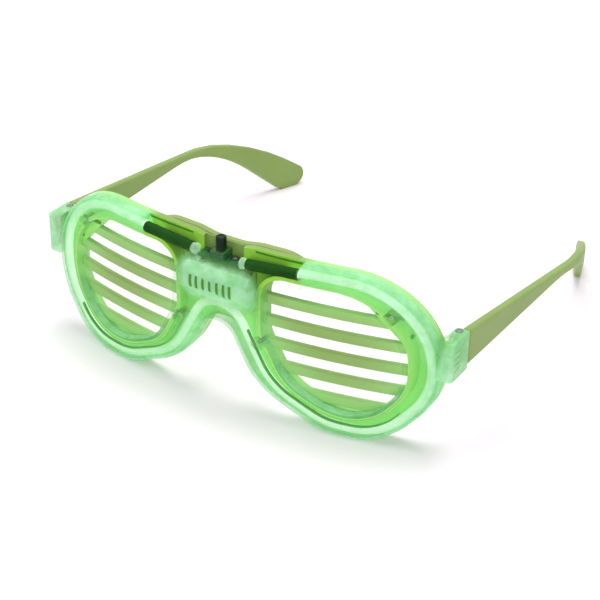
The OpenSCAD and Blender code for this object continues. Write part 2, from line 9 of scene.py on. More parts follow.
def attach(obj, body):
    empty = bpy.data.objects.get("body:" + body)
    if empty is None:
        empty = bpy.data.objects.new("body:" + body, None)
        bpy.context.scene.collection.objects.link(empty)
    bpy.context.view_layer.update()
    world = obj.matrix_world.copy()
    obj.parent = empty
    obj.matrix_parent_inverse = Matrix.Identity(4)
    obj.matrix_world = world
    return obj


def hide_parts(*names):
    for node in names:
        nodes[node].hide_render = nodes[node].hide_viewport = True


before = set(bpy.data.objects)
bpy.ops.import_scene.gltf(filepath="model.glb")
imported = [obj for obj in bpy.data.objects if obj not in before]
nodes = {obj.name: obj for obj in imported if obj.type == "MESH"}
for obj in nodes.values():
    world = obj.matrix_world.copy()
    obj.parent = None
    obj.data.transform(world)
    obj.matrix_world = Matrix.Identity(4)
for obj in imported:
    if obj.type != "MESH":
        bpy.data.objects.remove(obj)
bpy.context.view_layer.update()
mm = 0.001
print("frame loaded:", len(nodes), "nodes")


def placeObject(name, data):
    placed = bpy.data.objects.new(name, data)
    bpy.context.scene.collection.objects.link(placed)
    return placed


def meshFrom(name, bm):
    mesh = bpy.data.meshes.new(name)
    bm.to_mesh(mesh)
    bm.free()
    return mesh


def addNode(tree, kind, values=None, **props):
    node = tree.nodes.new("ShaderNode" + kind)
    for key, value in props.items():
        setattr(node, key, value)
    for key, value in (values or {}).items():
        node.inputs[key].default_value = value
    return node


# Camera: the photograph's viewing angle, fitted to the outlines
cameraView = {
    "azimuth": 31.102,
    "elevation": 30.526,
    "roll": 1.13,
    "distance": 488.037,
    "target": (30.977, -73.85, 48.157),
    "focalPixels": 1647.488,
    "imageSize": 600,
    "sensor": 36.0,
}


def makeCamera(values):
    a, e, r = (math.radians(values[k]) for k in ("azimuth", "elevation", "roll"))
    back = Vector((math.sin(a) * math.cos(e), -math.cos(a) * math.cos(e), math.sin(e)))
    level = Vector((math.cos(a), math.sin(a), 0))
    rise = back.cross(level)
    right = level * math.cos(r) + rise * math.sin(r)
    up = rise * math.cos(r) - level * math.sin(r)
    data = bpy.data.cameras.new("photoCamera")
    data.sensor_width = values["sensor"]
    data.lens = values["focalPixels"] / values["imageSize"] * values["sensor"]
    data.clip_start = 0.01
    data.clip_end = 20
    camera = placeObject("photoCamera", data)
    place = (Vector(values["target"]) + back * values["distance"]) * mm
    turn = Matrix((right, up, back)).transposed().to_4x4()
    camera.matrix_world = Matrix.Translation(place) @ turn
    bpy.context.scene.camera = camera


makeCamera(cameraView)

# Studio: a pale floor, a white surround and soft lamps
studio = {
    "floorColour": (0.96, 0.895, 0.955, 1),
    "floorRadius": 3.0,
    "floorRoughness": 0.6,
    "floorGloss": 0.2,
    "worldColour": (1.0, 1.0, 1.0, 1),
    "worldStrength": 0.49,
    "whiteStrength": 1.0,
    "lamps": [
        {"name": "keyLamp", "place": (-0.04, 0.13, 0.9), "size": 0.62, "power": 5.7},
        {"name": "fillLamp", "place": (0.5, -0.7, 0.4), "size": 0.6, "power": 2.5},
        {"name": "sideLamp", "place": (-0.6, -0.45, 0.6), "size": 0.5, "power": 2.0},
    ],
}


def makeWorld(values):
    world = bpy.data.worlds.new("studioWorld")
    bpy.context.scene.world = world
    world.use_nodes = True
    tree = world.node_tree
    tree.nodes.clear()
    colour = values["worldColour"]
    lit = addNode(tree, "Background", {"Color": colour, "Strength": values["worldStrength"]})
    seen = addNode(tree, "Background", {"Color": colour, "Strength": values["whiteStrength"]})
    rays = addNode(tree, "LightPath").outputs
    either, both = (addNode(tree, "Math", operation="MAXIMUM") for _ in range(2))
    mix, out = addNode(tree, "MixShader"), addNode(tree, "OutputWorld")
    links = [(rays["Is Camera Ray"], either, 0), (rays["Is Glossy Ray"], either, 1),
             (either.outputs[0], both, 0), (rays["Is Transmission Ray"], both, 1), (both.outputs[0], mix, 0),
             (lit.outputs[0], mix, 1), (seen.outputs[0], mix, 2), (mix.outputs[0], out, 0)]
    for source, node, spot in links:
        tree.links.new(source, node.inputs[spot])


def makeLamps(values):
    for lamp in values["lamps"]:
        data = bpy.data.lights.new(lamp["name"], "AREA")
        data.shape = "DISK"
        data.size = lamp["size"]
        data.energy = lamp["power"]
        place = Vector(lamp["place"])
        turn = place.to_track_quat("Z", "Y").to_matrix().to_4x4()
        placeObject(lamp["name"], data).matrix_world = Matrix.Translation(place) @ turn


def makeFloor(values):
    bm = bmesh.new()
    bmesh.ops.create_circle(bm, cap_ends=True, segments=64, radius=values["floorRadius"])
    mesh = meshFrom("floor", bm)
    material = bpy.data.materials.new("floorPaper")
    material.use_nodes = True
    shader = material.node_tree.nodes["Principled BSDF"]
    shader.inputs["Base Color"].default_value = values["floorColour"]
    shader.inputs["Roughness"].default_value = values["floorRoughness"]
    shader.inputs["Specular IOR Level"].default_value = values["floorGloss"]
    mesh.materials.append(material)
    floor = placeObject("floor", mesh)


makeWorld(studio)
makeLamps(studio)
makeFloor(studio)
bpy.context.scene.view_settings.view_transform = "Standard"
print("studio ready")

# Measures shared by the pieces of the front, in millimetres; depths run back from the curved face
front = {
    "width": 142.8,
    "height": 57.0,
    "wrapRadius": 212.0,
    "middleY": 73.85,
    "shellDepth": 5.6,
    "plateBack": 8.0,
    "faceThickness": 1.2,
    "wallThickness": 1.2,
    "eyeWallDepth": 3.9,
    "halfOutline": [
        (6, 56, 5), (11, 57, 8), (54.4, 57, 44), (71.4, 39.6, 44), (71.4, 18, 36),
        (56.5, 0, 22), (37, 0, 26), (13.8, 11.2, 27), (4.2, 29.7, 5.7),
    ],
    "eyeWidths": [7.4, 9.2, 10.2, 9.6, 8.4, 8.2, 11.3, 16.8],
    "eyeRadii": [7, 22, 18, 16, 18, 25, 18, 8],
    "arcStep": 6.0,
    "sideStep": 4.0,
    "chamfer": 0.15,
    "softEdge": 0.25,
}


# Corners are (x, z, radius) and run clockwise seen from the front
def mirroredCorners(corners):
    return [(-x, z, r) for x, z, r in reversed(corners)]


def insetCorners(corners, margins):
    count, moved = len(corners), []
    for i, corner in enumerate(corners):
        before, here, after = (Vector(corners[k % count][:2]) for k in (i - 1, i, i + 1))
        along, onward = (here - before).normalized(), (after - here).normalized()
        turn = along.cross(onward)
        place = here + (margins[i] * along - margins[i - 1] * onward) / turn
        radius = corner[2] + math.copysign(0.5, turn) * (margins[i - 1] + margins[i])
        moved.append((place.x, place.y, max(0.3, radius)))
    return moved


def insetAll(corners, margin):
    return insetCorners(corners, [margin] * len(corners))


# Half the angle between the two sides that meet at a corner
def halfAngle(corners, i):
    here = Vector(corners[i][:2])
    u = (Vector(corners[i - 1][:2]) - here).normalized()
    v = (Vector(corners[(i + 1) % len(corners)][:2]) - here).normalized()
    return math.acos(max(-1.0, min(1.0, u.dot(v)))) / 2


def fitRadii(corners):
    count = len(corners)
    taken = [c[2] / math.tan(max(0.02, halfAngle(corners, i))) for i, c in enumerate(corners)]
    room = []
    for i in range(count):
        side = (Vector(corners[(i + 1) % count][:2]) - Vector(corners[i][:2])).length
        room.append(0.99 * side / max(0.001, taken[i] + taken[(i + 1) % count]))
    return [(c[0], c[1], c[2] * min(1, room[i], room[i - 1])) for i, c in enumerate(corners)]


# How many steps each corner's arc and each side get, so that all loops of one chain match
def loopCounts(corners):
    fitted, arcs, sides = fitRadii(corners), [], []
    for i in range(len(fitted)):
        sweep = math.pi - 2 * halfAngle(fitted, i)
        arcs.append(max(2, math.ceil(math.degrees(sweep) / front["arcStep"])))
        side = (Vector(fitted[(i + 1) % len(fitted)][:2]) - Vector(fitted[i][:2])).length
        sides.append(max(1, round(side / front["sideStep"])))
    return arcs, sides


# The points of one rounded corner; steps gives their number from the sweep in radians
def cornerArc(fitted, i, steps):
    x, z, radius = fitted[i]
    here = Vector((x, z))
    u = (Vector(fitted[i - 1][:2]) - here).normalized()
    v = (Vector(fitted[(i + 1) % len(fitted)][:2]) - here).normalized()
    half = halfAngle(fitted, i)
    centre = here + (u + v).normalized() * (radius / math.sin(half))
    start = here + u * (radius / math.tan(half)) - centre
    sweep = math.copysign(math.pi - 2 * half, -u.cross(v))
    count = steps(abs(sweep))
    return [centre + Matrix.Rotation(sweep * k / count, 2) @ start for k in range(count + 1)]


def loopPoints(corners, counts):
    fitted, points, count = fitRadii(corners), [], len(corners)
    for i in range(count):
        ring = cornerArc(fitted, i, lambda sweep: counts[0][i])
        if points:
            ring = [points[-1].lerp(ring[0], k / counts[1][i - 1]) for k in range(1, counts[1][i - 1])] + ring
        points += ring
    last = counts[1][count - 1]
    return points + [points[-1].lerp(points[0], k / last) for k in range(1, last)]


outline = front["halfOutline"] + mirroredCorners(front["halfOutline"])
outlineCounts = loopCounts(outline)


def eyeCorners(side, widths, radii):
    half = front["halfOutline"]
    nose, arch = half[7], half[8]
    low = nose[1] + (arch[1] - nose[1]) * nose[0] / (nose[0] - arch[0])
    lines = [(0, front["height"], 1)] + half[2:8] + [(0, low, 1)]
    inner = insetCorners(lines, widths)
    corners = [(c[0], c[1], r) for c, r in zip(inner, radii)]
    return corners if side > 0 else mirroredCorners(corners)


# One mesh grows loop by loop: each loop is the last one extruded and moved to its place
def startLoop(bm, points, depth):
    loop = [bm.verts.new((p.x, depth, p.y)) for p in points]
    for i in range(len(loop)):
        bm.edges.new((loop[i - 1], loop[i]))
    return loop


def loopEdges(bm, loop):
    return [bm.edges.get((loop[i - 1], loop[i])) for i in range(len(loop))]


def placeKey(co):
    return tuple(round(c, 4) for c in co)


def growLoop(bm, loop, points, depth):
    made = bmesh.ops.extrude_edge_only(bm, edges=loopEdges(bm, loop))["geom"]
    fresh = {placeKey(v.co): v for v in made if isinstance(v, bmesh.types.BMVert)}
    grown = [fresh[placeKey(v.co)] for v in loop]
    for vert, p in zip(grown, points):
        vert.co = (p.x, depth, p.y)
    return grown


# A chain of (margin, depth) steps along the outline or round an opening
def growChain(bm, pointsAt, steps):
    loops = [startLoop(bm, pointsAt(steps[0][0]), steps[0][1])]
    for margin, depth in steps[1:]:
        loops.append(growLoop(bm, loops[-1], pointsAt(margin), depth))
    return loops


def outlineAt(margin):
    return loopPoints(insetAll(outline, margin), outlineCounts)


def openingAt(corners):
    counts = loopCounts(corners)
    return lambda grow: loopPoints(insetAll(corners, -grow), counts)


def eyeOpening(side):
    return openingAt(eyeCorners(side, front["eyeWidths"], front["eyeRadii"]))


def slabAt(corners):
    counts = loopCounts(corners)
    return lambda margin: loopPoints(insetAll(corners, margin), counts)


# Quarter round from a face into a wall, as (margin, depth) steps
def roundEdge(radius, depth, back=False):
    steps = []
    for k in range(5):
        a = math.pi / 8 * k
        across, down = radius * (1 - math.sin(a)), radius * (1 - math.cos(a))
        steps.append((across, depth - down if back else depth + down))
    return steps


# The same for the far face, from the wall into the face
def farEdge(radius, depth):
    return sorted(roundEdge(radius, depth, True))


def fillFlat(bm, loops):
    edges = [e for loop in loops for e in loopEdges(bm, loop)]
    bmesh.ops.triangle_fill(bm, use_beauty=True, use_dissolve=False, edges=edges, normal=(0, 1, 0))


def cappedChain(pointsAt, steps):
    bm = bmesh.new()
    loops = growChain(bm, pointsAt, steps)
    for loop in (loops[0], loops[-1]):
        fillFlat(bm, [loop])
    return bm


# A closed band: the last loop of the chain is bridged to the first
def bandMesh(pointsAt, steps):
    bm = bmesh.new()
    loops = growChain(bm, pointsAt, steps)
    bmesh.ops.bridge_loops(bm, edges=loopEdges(bm, loops[0]) + loopEdges(bm, loops[-1]))
    return bm


def cutAt(bm, place, normal, dist=1e-4):
    bmesh.ops.bisect_plane(bm, geom=bm.verts[:] + bm.edges[:] + bm.faces[:], dist=dist, plane_co=place,
                           plane_no=normal)


# Takes off what lies beyond a plane and closes the cut
def trimAt(bm, place, normal):
    cut = bmesh.ops.bisect_plane(bm, geom=bm.verts[:] + bm.edges[:] + bm.faces[:], dist=1e-4, plane_co=place,
                                 plane_no=normal, clear_outer=True)["geom_cut"]
    bmesh.ops.holes_fill(bm, edges=[g for g in cut if isinstance(g, bmesh.types.BMEdge)])


def bevelEdges(bm, edges, radius, segments):
    bmesh.ops.bevel(bm, geom=edges, offset=radius, segments=segments, profile=0.5,
                    affect="EDGES", material=-1)


def raiseFaces(bm, move):
    raised = bmesh.ops.extrude_face_region(bm, geom=bm.faces[:])["geom"]
    bmesh.ops.translate(bm, vec=move, verts=[v for v in raised if isinstance(v, bmesh.types.BMVert)])


# Cuts the flat faces at one depth into a grid, so that they can follow the curve and carry the glow
def gridFlat(bm, depth, step, spanX, spanZ=(1, 0)):
    def lines(span):
        return range(math.ceil(span[0] / step), math.floor(span[1] / step) + 1)
    cuts = [((x * step, 0, 0), (1, 0, 0)) for x in lines(spanX)]
    cuts += [((0, 0, z * step), (0, 0, 1)) for z in lines(spanZ)]
    for place, normal in cuts:
        faces = [f for f in bm.faces if all(abs(v.co.y - depth) < 1e-4 for v in f.verts)]
        edges = list(dict.fromkeys(e for f in faces for e in f.edges))
        verts = list(dict.fromkeys(v for f in faces for v in f.verts))
        bmesh.ops.bisect_plane(bm, geom=faces + edges + verts, dist=1e-4, plane_co=place, plane_no=normal)


def wrapPlace(x, depth, z):
    radius = front["wrapRadius"]
    y = radius - math.sqrt((radius - depth) ** 2 - x * x) - front["middleY"]
    return Vector((x, y, z)) * mm


def depthOf(place):
    radius = front["wrapRadius"]
    return radius - math.hypot(radius - place.y / mm - front["middleY"], place.x / mm)


def closeMesh(bm):
    bmesh.ops.remove_doubles(bm, verts=bm.verts, dist=1e-7)
    bmesh.ops.recalc_face_normals(bm, faces=bm.faces)
    return bm


def wrapMesh(bm):
    for v in bm.verts:
        v.co = wrapPlace(*v.co)
    return closeMesh(bm)


def mirrorX(bm):
    bmesh.ops.transform(bm, matrix=Matrix.Diagonal((-1, 1, 1, 1)), verts=bm.verts)
    bmesh.ops.reverse_faces(bm, faces=bm.faces)
    return bm


def onSide(bm, side):
    return bm if side > 0 else mirrorX(bm)


def makePiece(name, bm, finish, body, replaces=(), smoothAngle=35):
    mesh = meshFrom(name, bm)
    piece = placeObject(name, mesh)
    mesh.materials.append(made[finish])
    mesh.shade_smooth()
    mesh.set_sharp_from_angle(angle=math.radians(smoothAngle))
    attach(piece, body)
    if replaces:
        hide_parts(*replaces)
    return piece


# Booleans run on loose copies; the result comes back as a bmesh
def carve(bm, cutters):
    base = placeObject("carved", meshFrom("carved", bm))
    tools = [placeObject("cutter", meshFrom("cutter", cutter)) for cutter in cutters]
    for tool in tools:
        step = base.modifiers.new("carve", "BOOLEAN")
        step.operation, step.object, step.solver = "DIFFERENCE", tool, "EXACT"
    bpy.context.view_layer.update()
    result = base.evaluated_get(bpy.context.evaluated_depsgraph_get()).to_mesh()
    done = bmesh.new()
    done.from_mesh(result)
    for item in [base] + tools:
        mesh = item.data
        bpy.data.objects.remove(item)
        bpy.data.meshes.remove(mesh)
    return done


def joinInto(bm, part):
    mesh = meshFrom("joined", part)
    bm.from_mesh(mesh)
    bpy.data.meshes.remove(mesh)


# A turned shape: (radius, height) points spun round the axis that starts at a place
def turned(profile, place, axis, steps=40):
    bm = bmesh.new()
    verts = [bm.verts.new((r, 0, h)) for r, h in profile]
    for a, b in zip(verts, verts[1:]):
        bm.edges.new((a, b))
    bmesh.ops.spin(bm, geom=bm.verts[:] + bm.edges[:], cent=(0, 0, 0), axis=(0, 0, 1), angle=math.tau,
                   steps=steps, use_merge=True)
    bmesh.ops.remove_doubles(bm, verts=bm.verts, dist=1e-5)
    bmesh.ops.recalc_face_normals(bm, faces=bm.faces)
    turn = Vector(axis).to_track_quat("Z", "Y").to_matrix().to_4x4()
    bmesh.ops.transform(bm, matrix=Matrix.Scale(mm, 4) @ Matrix.Translation(place) @ turn, verts=bm.verts)
    return bm


# A plain rod, to cut round holes
def rod(radius, low, high, place, axis, steps):
    return turned([(0, low), (radius, low), (radius, high), (0, high)], place, axis, steps)


# A box from its lowest to its highest corner with rounded edges
def roundedBox(low, high, radius, segments=3):
    bm = bmesh.new()
    low, high = Vector(low) * mm, Vector(high) * mm
    size = high - low
    shape = Matrix.Translation((low + high) / 2) @ Matrix.Diagonal(size).to_4x4()
    bmesh.ops.create_cube(bm, size=1.0, matrix=shape)
    if radius:
        bevelEdges(bm, bm.edges[:], radius * mm, segments)
    return bm


# A prism drawn in plan (x, y) between two heights, its edges rounded
def prism(points, low, high, radius):
    bm = bmesh.new()
    bm.faces.new([bm.verts.new((x * mm, (y - front["middleY"]) * mm, low * mm)) for x, y in points])
    raiseFaces(bm, (0, 0, (high - low) * mm))
    bmesh.ops.recalc_face_normals(bm, faces=bm.faces)
    bevelEdges(bm, bm.edges[:], radius * mm, 3)
    return bm


# Finishes. Each material is a Principled shader whose colour, roughness and bump come from fine noise;
# scales are those of its blotches and its grain, and bump is strength and depth
def rampNode(tree, source, stops):
    ramp = addNode(tree, "ValToRGB")
    band = ramp.color_ramp
    while len(band.elements) < len(stops):
        band.elements.new(0.5)
    for element, (place, colour) in zip(band.elements, stops):
        element.position, element.color = place, colour
    tree.links.new(source, ramp.inputs["Fac"])
    return ramp.outputs["Color"]


def solid(colour):
    return (*colour, 1)


def grey(value):
    return (value, value, value, 1)


def attributeOf(tree, name):
    return addNode(tree, "Attribute", attribute_name=name).outputs["Fac"]


def mixed(tree, share, first, second):
    mix = addNode(tree, "MixRGB")
    for source, spot in ((share, "Fac"), (first, "Color1"), (second, "Color2")):
        if isinstance(source, tuple):
            mix.inputs[spot].default_value = source
        else:
            tree.links.new(source, mix.inputs[spot])
    return mix.outputs["Color"]


def facingRamp(tree, blend, stops):
    return rampNode(tree, addNode(tree, "LayerWeight", {"Blend": blend}).outputs["Facing"], stops)


def makeFinish(name, look):
    material = bpy.data.materials.new(name)
    material.use_nodes = True
    tree = material.node_tree
    link = tree.links.new
    shader = tree.nodes["Principled BSDF"]
    mapping = addNode(tree, "Mapping", {"Scale": look.get("stretch", (1, 1, 1))})
    link(addNode(tree, "TexCoord").outputs["Object"], mapping.inputs["Vector"])
    (blotchScale, grainScale), (bumpStrength, bumpDepth) = look["scales"], look["bump"]
    blotch = addNode(tree, "TexNoise", {"Scale": blotchScale, "Detail": 4.0, "Roughness": 0.6})
    grain = addNode(tree, "TexNoise", {"Scale": grainScale, "Detail": 3.0, "Roughness": 0.55})
    for noise in (blotch, grain):
        link(mapping.outputs["Vector"], noise.inputs["Vector"])
    fine = grain.outputs["Fac"]

    def blotched(pair, low, high):
        return rampNode(tree, blotch.outputs["Fac"], [(low, solid(pair[0])), (high, solid(pair[1]))])
    colour = blotched(look["colours"], 0.3, 0.72)
    if "glowColour" in look:
        glow = attributeOf(tree, "glow")
        if "underColour" in look:
            colour = mixed(tree, attributeOf(tree, "under"), colour, solid(look["underColour"]))
        colour = mixed(tree, glow, colour, blotched(look["lit"], 0.35, 0.65))
        shine = rampNode(tree, glow, [(0.0, grey(0)), (1.0, solid(look["glowColour"]))])
    elif "emission" in look:
        shine = blotched(look["emission"], 0.3, 0.7)
        if "emissionEdge" in look:
            rim = facingRamp(tree, 0.5, [(0.25, grey(0)), (0.85, grey(1))])
            shine = mixed(tree, rim, shine, solid(look["emissionEdge"]))
    if "glowColour" in look or "emission" in look:
        link(shine, shader.inputs["Emission Color"])
        shader.inputs["Emission Strength"].default_value = 1.0
    link(colour, shader.inputs["Base Color"])
    smooth, rough = look["roughness"]
    link(rampNode(tree, fine, [(0.3, grey(smooth)), (0.7, grey(rough))]), shader.inputs["Roughness"])
    bump = addNode(tree, "Bump", {"Strength": bumpStrength, "Distance": bumpDepth})
    link(fine, bump.inputs["Height"])
    link(bump.outputs["Normal"], shader.inputs["Normal"])
    if "alpha" in look:
        plain, edge, lit = look["alpha"]
        clear = facingRamp(tree, 0.35, [(0.0, grey(plain)), (1.0, grey(edge))])
        if "covered" in look:
            clear = mixed(tree, glow, clear, grey(lit))
            clear = mixed(tree, attributeOf(tree, "cover"), clear, grey(look["covered"]))
            clear = mixed(tree, attributeOf(tree, "faint"), clear, grey(look["faint"]))
        link(clear, shader.inputs["Alpha"])
    for key in ("Metallic", "IOR", "Specular IOR Level"):
        if key in look:
            shader.inputs[key].default_value = look[key]
    return material


finishes = {
    "clearMint": {
        "colours": ((0.1, 0.42, 0.015), (0.16, 0.5, 0.03)), "lit": ((0.22, 0.58, 0.23), (0.38, 0.74, 0.43)),
        "glowColour": (0.06, 0.12, 0.065), "roughness": (0.1, 0.22), "alpha": (0.035, 0.22, 0.48),
        "covered": 0.88, "faint": 0.02, "IOR": 1.4, "Specular IOR Level": 0.15, "scales": (240, 200),
        "bump": (0.12, 0.0003),
    },
    "olivePlastic": {
        "colours": ((0.225, 0.335, 0.085), (0.255, 0.375, 0.105)),
        "lit": ((0.34, 0.8, 0.24), (0.42, 0.88, 0.32)), "glowColour": (0.04, 0.11, 0.04),
        "underColour": (0.27, 0.58, 0.05), "roughness": (0.36, 0.48), "Specular IOR Level": 0.22,
        "scales": (45, 2600), "bump": (0.08, 0.0001),
    },
    "litPipe": {
        "colours": ((0.1, 0.18, 0.1), (0.14, 0.22, 0.14)),
        "emission": ((0.54, 0.86, 0.59), (0.96, 1.1, 1.0)), "emissionEdge": (0.28, 0.78, 0.34),
        "roughness": (0.12, 0.22), "scales": (45, 500), "bump": (0.05, 0.0002),
    },
    "blackSleeve": {
        "colours": ((0.001, 0.028, 0.001), (0.003, 0.055, 0.002)), "roughness": (0.5, 0.65),
        "Specular IOR Level": 0.1, "scales": (150, 900), "bump": (0.25, 0.0002),
    },
    "litLamp": {
        "colours": ((0.6, 0.85, 0.62), (0.8, 1.0, 0.82)),
        "emission": ((0.16, 0.4, 0.18), (0.45, 0.75, 0.48)), "roughness": (0.05, 0.1),
        "alpha": (0.15, 0.45, 0.8), "scales": (500, 900), "bump": (0.03, 0.0002),
    },
    # Painted shade: a dark green for the band that stands for the shaded gap inside the pipe
    "gapShadeGreen": {
        "colours": ((0.05, 0.3, 0.035), (0.08, 0.38, 0.06)), "roughness": (0.3, 0.45), "scales": (200, 900),
        "bump": (0.1, 0.0002),
    },
    # Dark green for the bulge ribs, for the painted shade at the gussets and for the painted reflection above
    # the sleeves
    "ribShadeAndReflectionGreen": {
        "colours": ((0.035, 0.2, 0.008), (0.06, 0.26, 0.015)), "roughness": (0.4, 0.5),
        "Specular IOR Level": 0.2, "scales": (200, 900), "bump": (0.1, 0.0002),
    },
    "solderMask": {
        "colours": ((0.012, 0.075, 0.022), (0.02, 0.12, 0.035)), "roughness": (0.25, 0.4),
        "scales": (700, 2500), "bump": (0.15, 0.0002),
    },
    "blackResin": {
        "colours": ((0.006, 0.007, 0.007), (0.014, 0.016, 0.015)), "roughness": (0.3, 0.5),
        "scales": (500, 2000), "bump": (0.15, 0.0002),
    },
    "greenPlastic": {
        "colours": ((0.004, 0.055, 0.012), (0.008, 0.09, 0.02)), "roughness": (0.15, 0.3),
        "scales": (400, 1600), "bump": (0.1, 0.0002),
    },
    "blackButton": {
        "colours": ((0.001, 0.006, 0.003), (0.003, 0.014, 0.007)), "roughness": (0.3, 0.45),
        "Specular IOR Level": 0.15, "scales": (500, 1800), "bump": (0.1, 0.0002),
    },
    "cellSteel": {
        "colours": ((0.36, 0.4, 0.37), (0.48, 0.53, 0.49)), "roughness": (0.22, 0.4), "Metallic": 1.0,
        "stretch": (14, 1, 1), "scales": (90, 700), "bump": (0.12, 0.00005),
    },
    "springSteel": {
        "colours": ((0.58, 0.58, 0.55), (0.7, 0.7, 0.67)), "roughness": (0.12, 0.22), "Metallic": 1.0,
        "scales": (300, 1500), "bump": (0.05, 0.00005),
    },
    "screwSteel": {
        "colours": ((0.42, 0.43, 0.45), (0.55, 0.56, 0.58)), "roughness": (0.22, 0.38), "Metallic": 1.0,
        "scales": (600, 2500), "bump": (0.12, 0.00005),
    },
}
made = {name: makeFinish(name, look) for name, look in finishes.items()}
nodeFinish = {
    "solderMask": ["circuit_board"],
    "blackResin": ["control_chip", "resistor"],
    "cellSteel": ["left_cell", "middle_cell", "right_cell"],
    "springSteel": ["contact_spring", "left_contact", "right_contact"],
    "screwSteel": ["door_screw", "frame_screws", "left_hinge_pin", "right_hinge_pin"],
}
for finish, names in nodeFinish.items():
    for spot in (spot for name in names for spot in nodes[name].material_slots):
        spot.material = made[finish]
print("finishes made:", len(made))

# Light pipe: one bent rod round both rims and over the nose, lit by a lamp at each end
pipe = {
    "radius": 1.4,
    "depth": 3.1,
    "outlineMargin": 2.75,
    "noseMargin": 4.4,
    "archMargin": 6.2,
    "bendX": 33.0,
    "lampX": 8.0,
    "startZ": 52.1,
    "bendRadius": 30.0,
    "browZ": 46.0,
    "darkX": 27.9,
    "darkRun": 0.8,
    "firstRun": 6.4,
    "clearRun": 0.5,
    "step": 1.6,
    "glowX": 28.0,
    "glowZ": 45.0,
    "skin": 0.17,
}


def pipeMargins(more=0.0):
    rim, nose = pipe["outlineMargin"] + more, pipe["noseMargin"] + more
    return [rim] * 7 + [nose, pipe["archMargin"] + more, nose] + [rim] * 8


def pipeHalf():
    rim = insetCorners(outline, pipeMargins())
    start = [(pipe["lampX"], pipe["startZ"], 0), (pipe["bendX"], rim[1][1], pipe["bendRadius"])]
    return start + rim[2:9]


def openPath(corners, step):
    fitted, points = fitRadii([(c[0], c[1], max(c[2], 0.01)) for c in corners]), []
    for i, (x, z, radius) in enumerate(fitted):
        if i in (0, len(fitted) - 1):
            points.append(Vector((x, z)))
        else:
            points += cornerArc(fitted, i, lambda sweep: max(2, math.ceil(sweep * radius / step)))
    even = [points[0]]
    for a, b in zip(points, points[1:]):
        pieces = max(1, round((b - a).length / step))
        even += [a.lerp(b, k / pieces) for k in range(1, pieces + 1)]
    return even


pipeCorners = pipeHalf() + mirroredCorners(pipeHalf())
pipeFlat = openPath(pipeCorners, pipe["step"])
pipePoints = [wrapPlace(p.x, pipe["depth"], p.y) for p in pipeFlat]
sleeveStart = pipePoints[0]
sleeveWay = (pipePoints[2] - pipePoints[0]).normalized()
pipePoints[0] = sleeveStart + sleeveWay * pipe["firstRun"] * mm
clearance = (pipe["firstRun"] + pipe["clearRun"]) * mm
while (pipePoints[1] - sleeveStart).length < clearance:
    del pipePoints[1]
across = Vector((-1, 1, 1))
pipePoints[-1] = pipePoints[0] * across
while (pipePoints[-2] - sleeveStart * across).length < clearance:
    del pipePoints[-2]


def tube(points, radius):
    curve = bpy.data.curves.new("tubeLine", "CURVE")
    curve.dimensions = "3D"
    curve.bevel_depth, curve.bevel_resolution, curve.use_fill_caps = radius, 6, True
    line = curve.splines.new("POLY")
    line.points.add(len(points) - 1)
    for spot, p in zip(line.points, points):
        spot.co = (*p, 1)
    holder = placeObject("tubeLine", curve)
    bm = bmesh.new()
    bm.from_mesh(holder.to_mesh())
    holder.to_mesh_clear()
    bpy.data.objects.remove(holder)
    bpy.data.curves.remove(curve)
    return closeMesh(bm)


def treeOf(points):
    tree = KDTree(len(points))
    for number, p in enumerate(points):
        tree.insert(p, number)
    tree.balance()
    return tree


def flatTree(loops):
    return treeOf([Vector((p.x, 0, p.y)) for loop in loops for p in loop])


def addValues(piece, name):
    return piece.data.attributes.new(name, "FLOAT", "POINT").data


litPipe = tube(pipePoints, pipe["radius"] * mm)
makePiece("lit_pipe", litPipe, "litPipe", "front", ["light_pipe"], 60)

# Where the glow reaches: the pipe beyond the black sleeves
glowTree = treeOf([p for p in pipePoints if abs(p.x) > pipe["glowX"] * mm or p.z < pipe["glowZ"] * mm])


def glowCut(place):
    if place.z < pipe["browZ"] * mm:
        return 1.0
    return min(1.0, max(0.0, (abs(place.x) / mm - pipe["darkX"]) / pipe["darkRun"]))


# Light that fades with the distance from the pipe
def fading(far, level, reach):
    return math.exp(-max(0.0, far - level) / reach)


# Glow near the pipe, and a second colour on the faces at the given depths
def addGlow(piece, reach, underDepths=()):
    for name in ("glow", "under"):
        addValues(piece, name)
    layers = (piece.data.attributes[name].data for name in ("glow", "under"))
    for vert, lit, tint in zip(piece.data.vertices, *layers):
        far = glowTree.find(vert.co)[2] / mm
        lit.value = fading(far, pipe["radius"], reach) * glowCut(vert.co)
        if any(abs(depthOf(vert.co) - depth) < pipe["skin"] for depth in underDepths):
            tint.value = 1.0


print("light pipe:", len(pipePoints), "points")

# Clear shell: rounded face and walls, an opening for each eye and the battery bulge over the nose
shell = {
    "edgeRadius": 2.1,
    "eyeRadius": 0.9,
    "ledgeDepth": 3.5,
    "ledge": 0.3,
    "ledgeRun": 0.3,
    "lip": 0.3,
    "fillet": 0.8,
    "grid": 2.0,
    "light": {"rimBand": 2.0, "rimDepth": 2.2, "rimCover": 0.7, "outer": (4.2, 1.6), "inner": (1.6, 1.5),
              "bulgeDepth": -0.1, "bulgeGlow": 1.0, "bulgeCover": 0.4, "bulgeFrostGlowReach": 4.0, "endX": 71.45,
              "endGlow": 0.7, "endCover": 0.75, "wallDepth": 0.8, "wallReach": 1.1, "wallCover": 0.85,
              "wall": (5.0, 9.0), "wallTopZ": 24.0, "wallFade": 6.0, "noseX": 22.0, "noseShare": 0.35,
              "wallMiddle": 0.6, "faceSkin": 0.1},
    "bulge": {"low": (-12.3, 38.55), "high": (12.95, 49.45), "radius": 4.2, "axisY": 4.7, "axisZ": 44.0,
              "outer": 7.12, "inner": 6.1, "rise": 0.25, "innerLimit": -1.4, "innerStart": 0.4,
              "foot": [(0.5, 0.0), (0.15, -0.06), (0, -0.3)],
              "skinSteps": (0.35, 0.8, 1.4, 2.1, 2.9, 3.7, 4.5, 5.3),
              "innerSteps": (0.4, 0.9, 1.6, 2.5, 3.5, 4.5)},
}


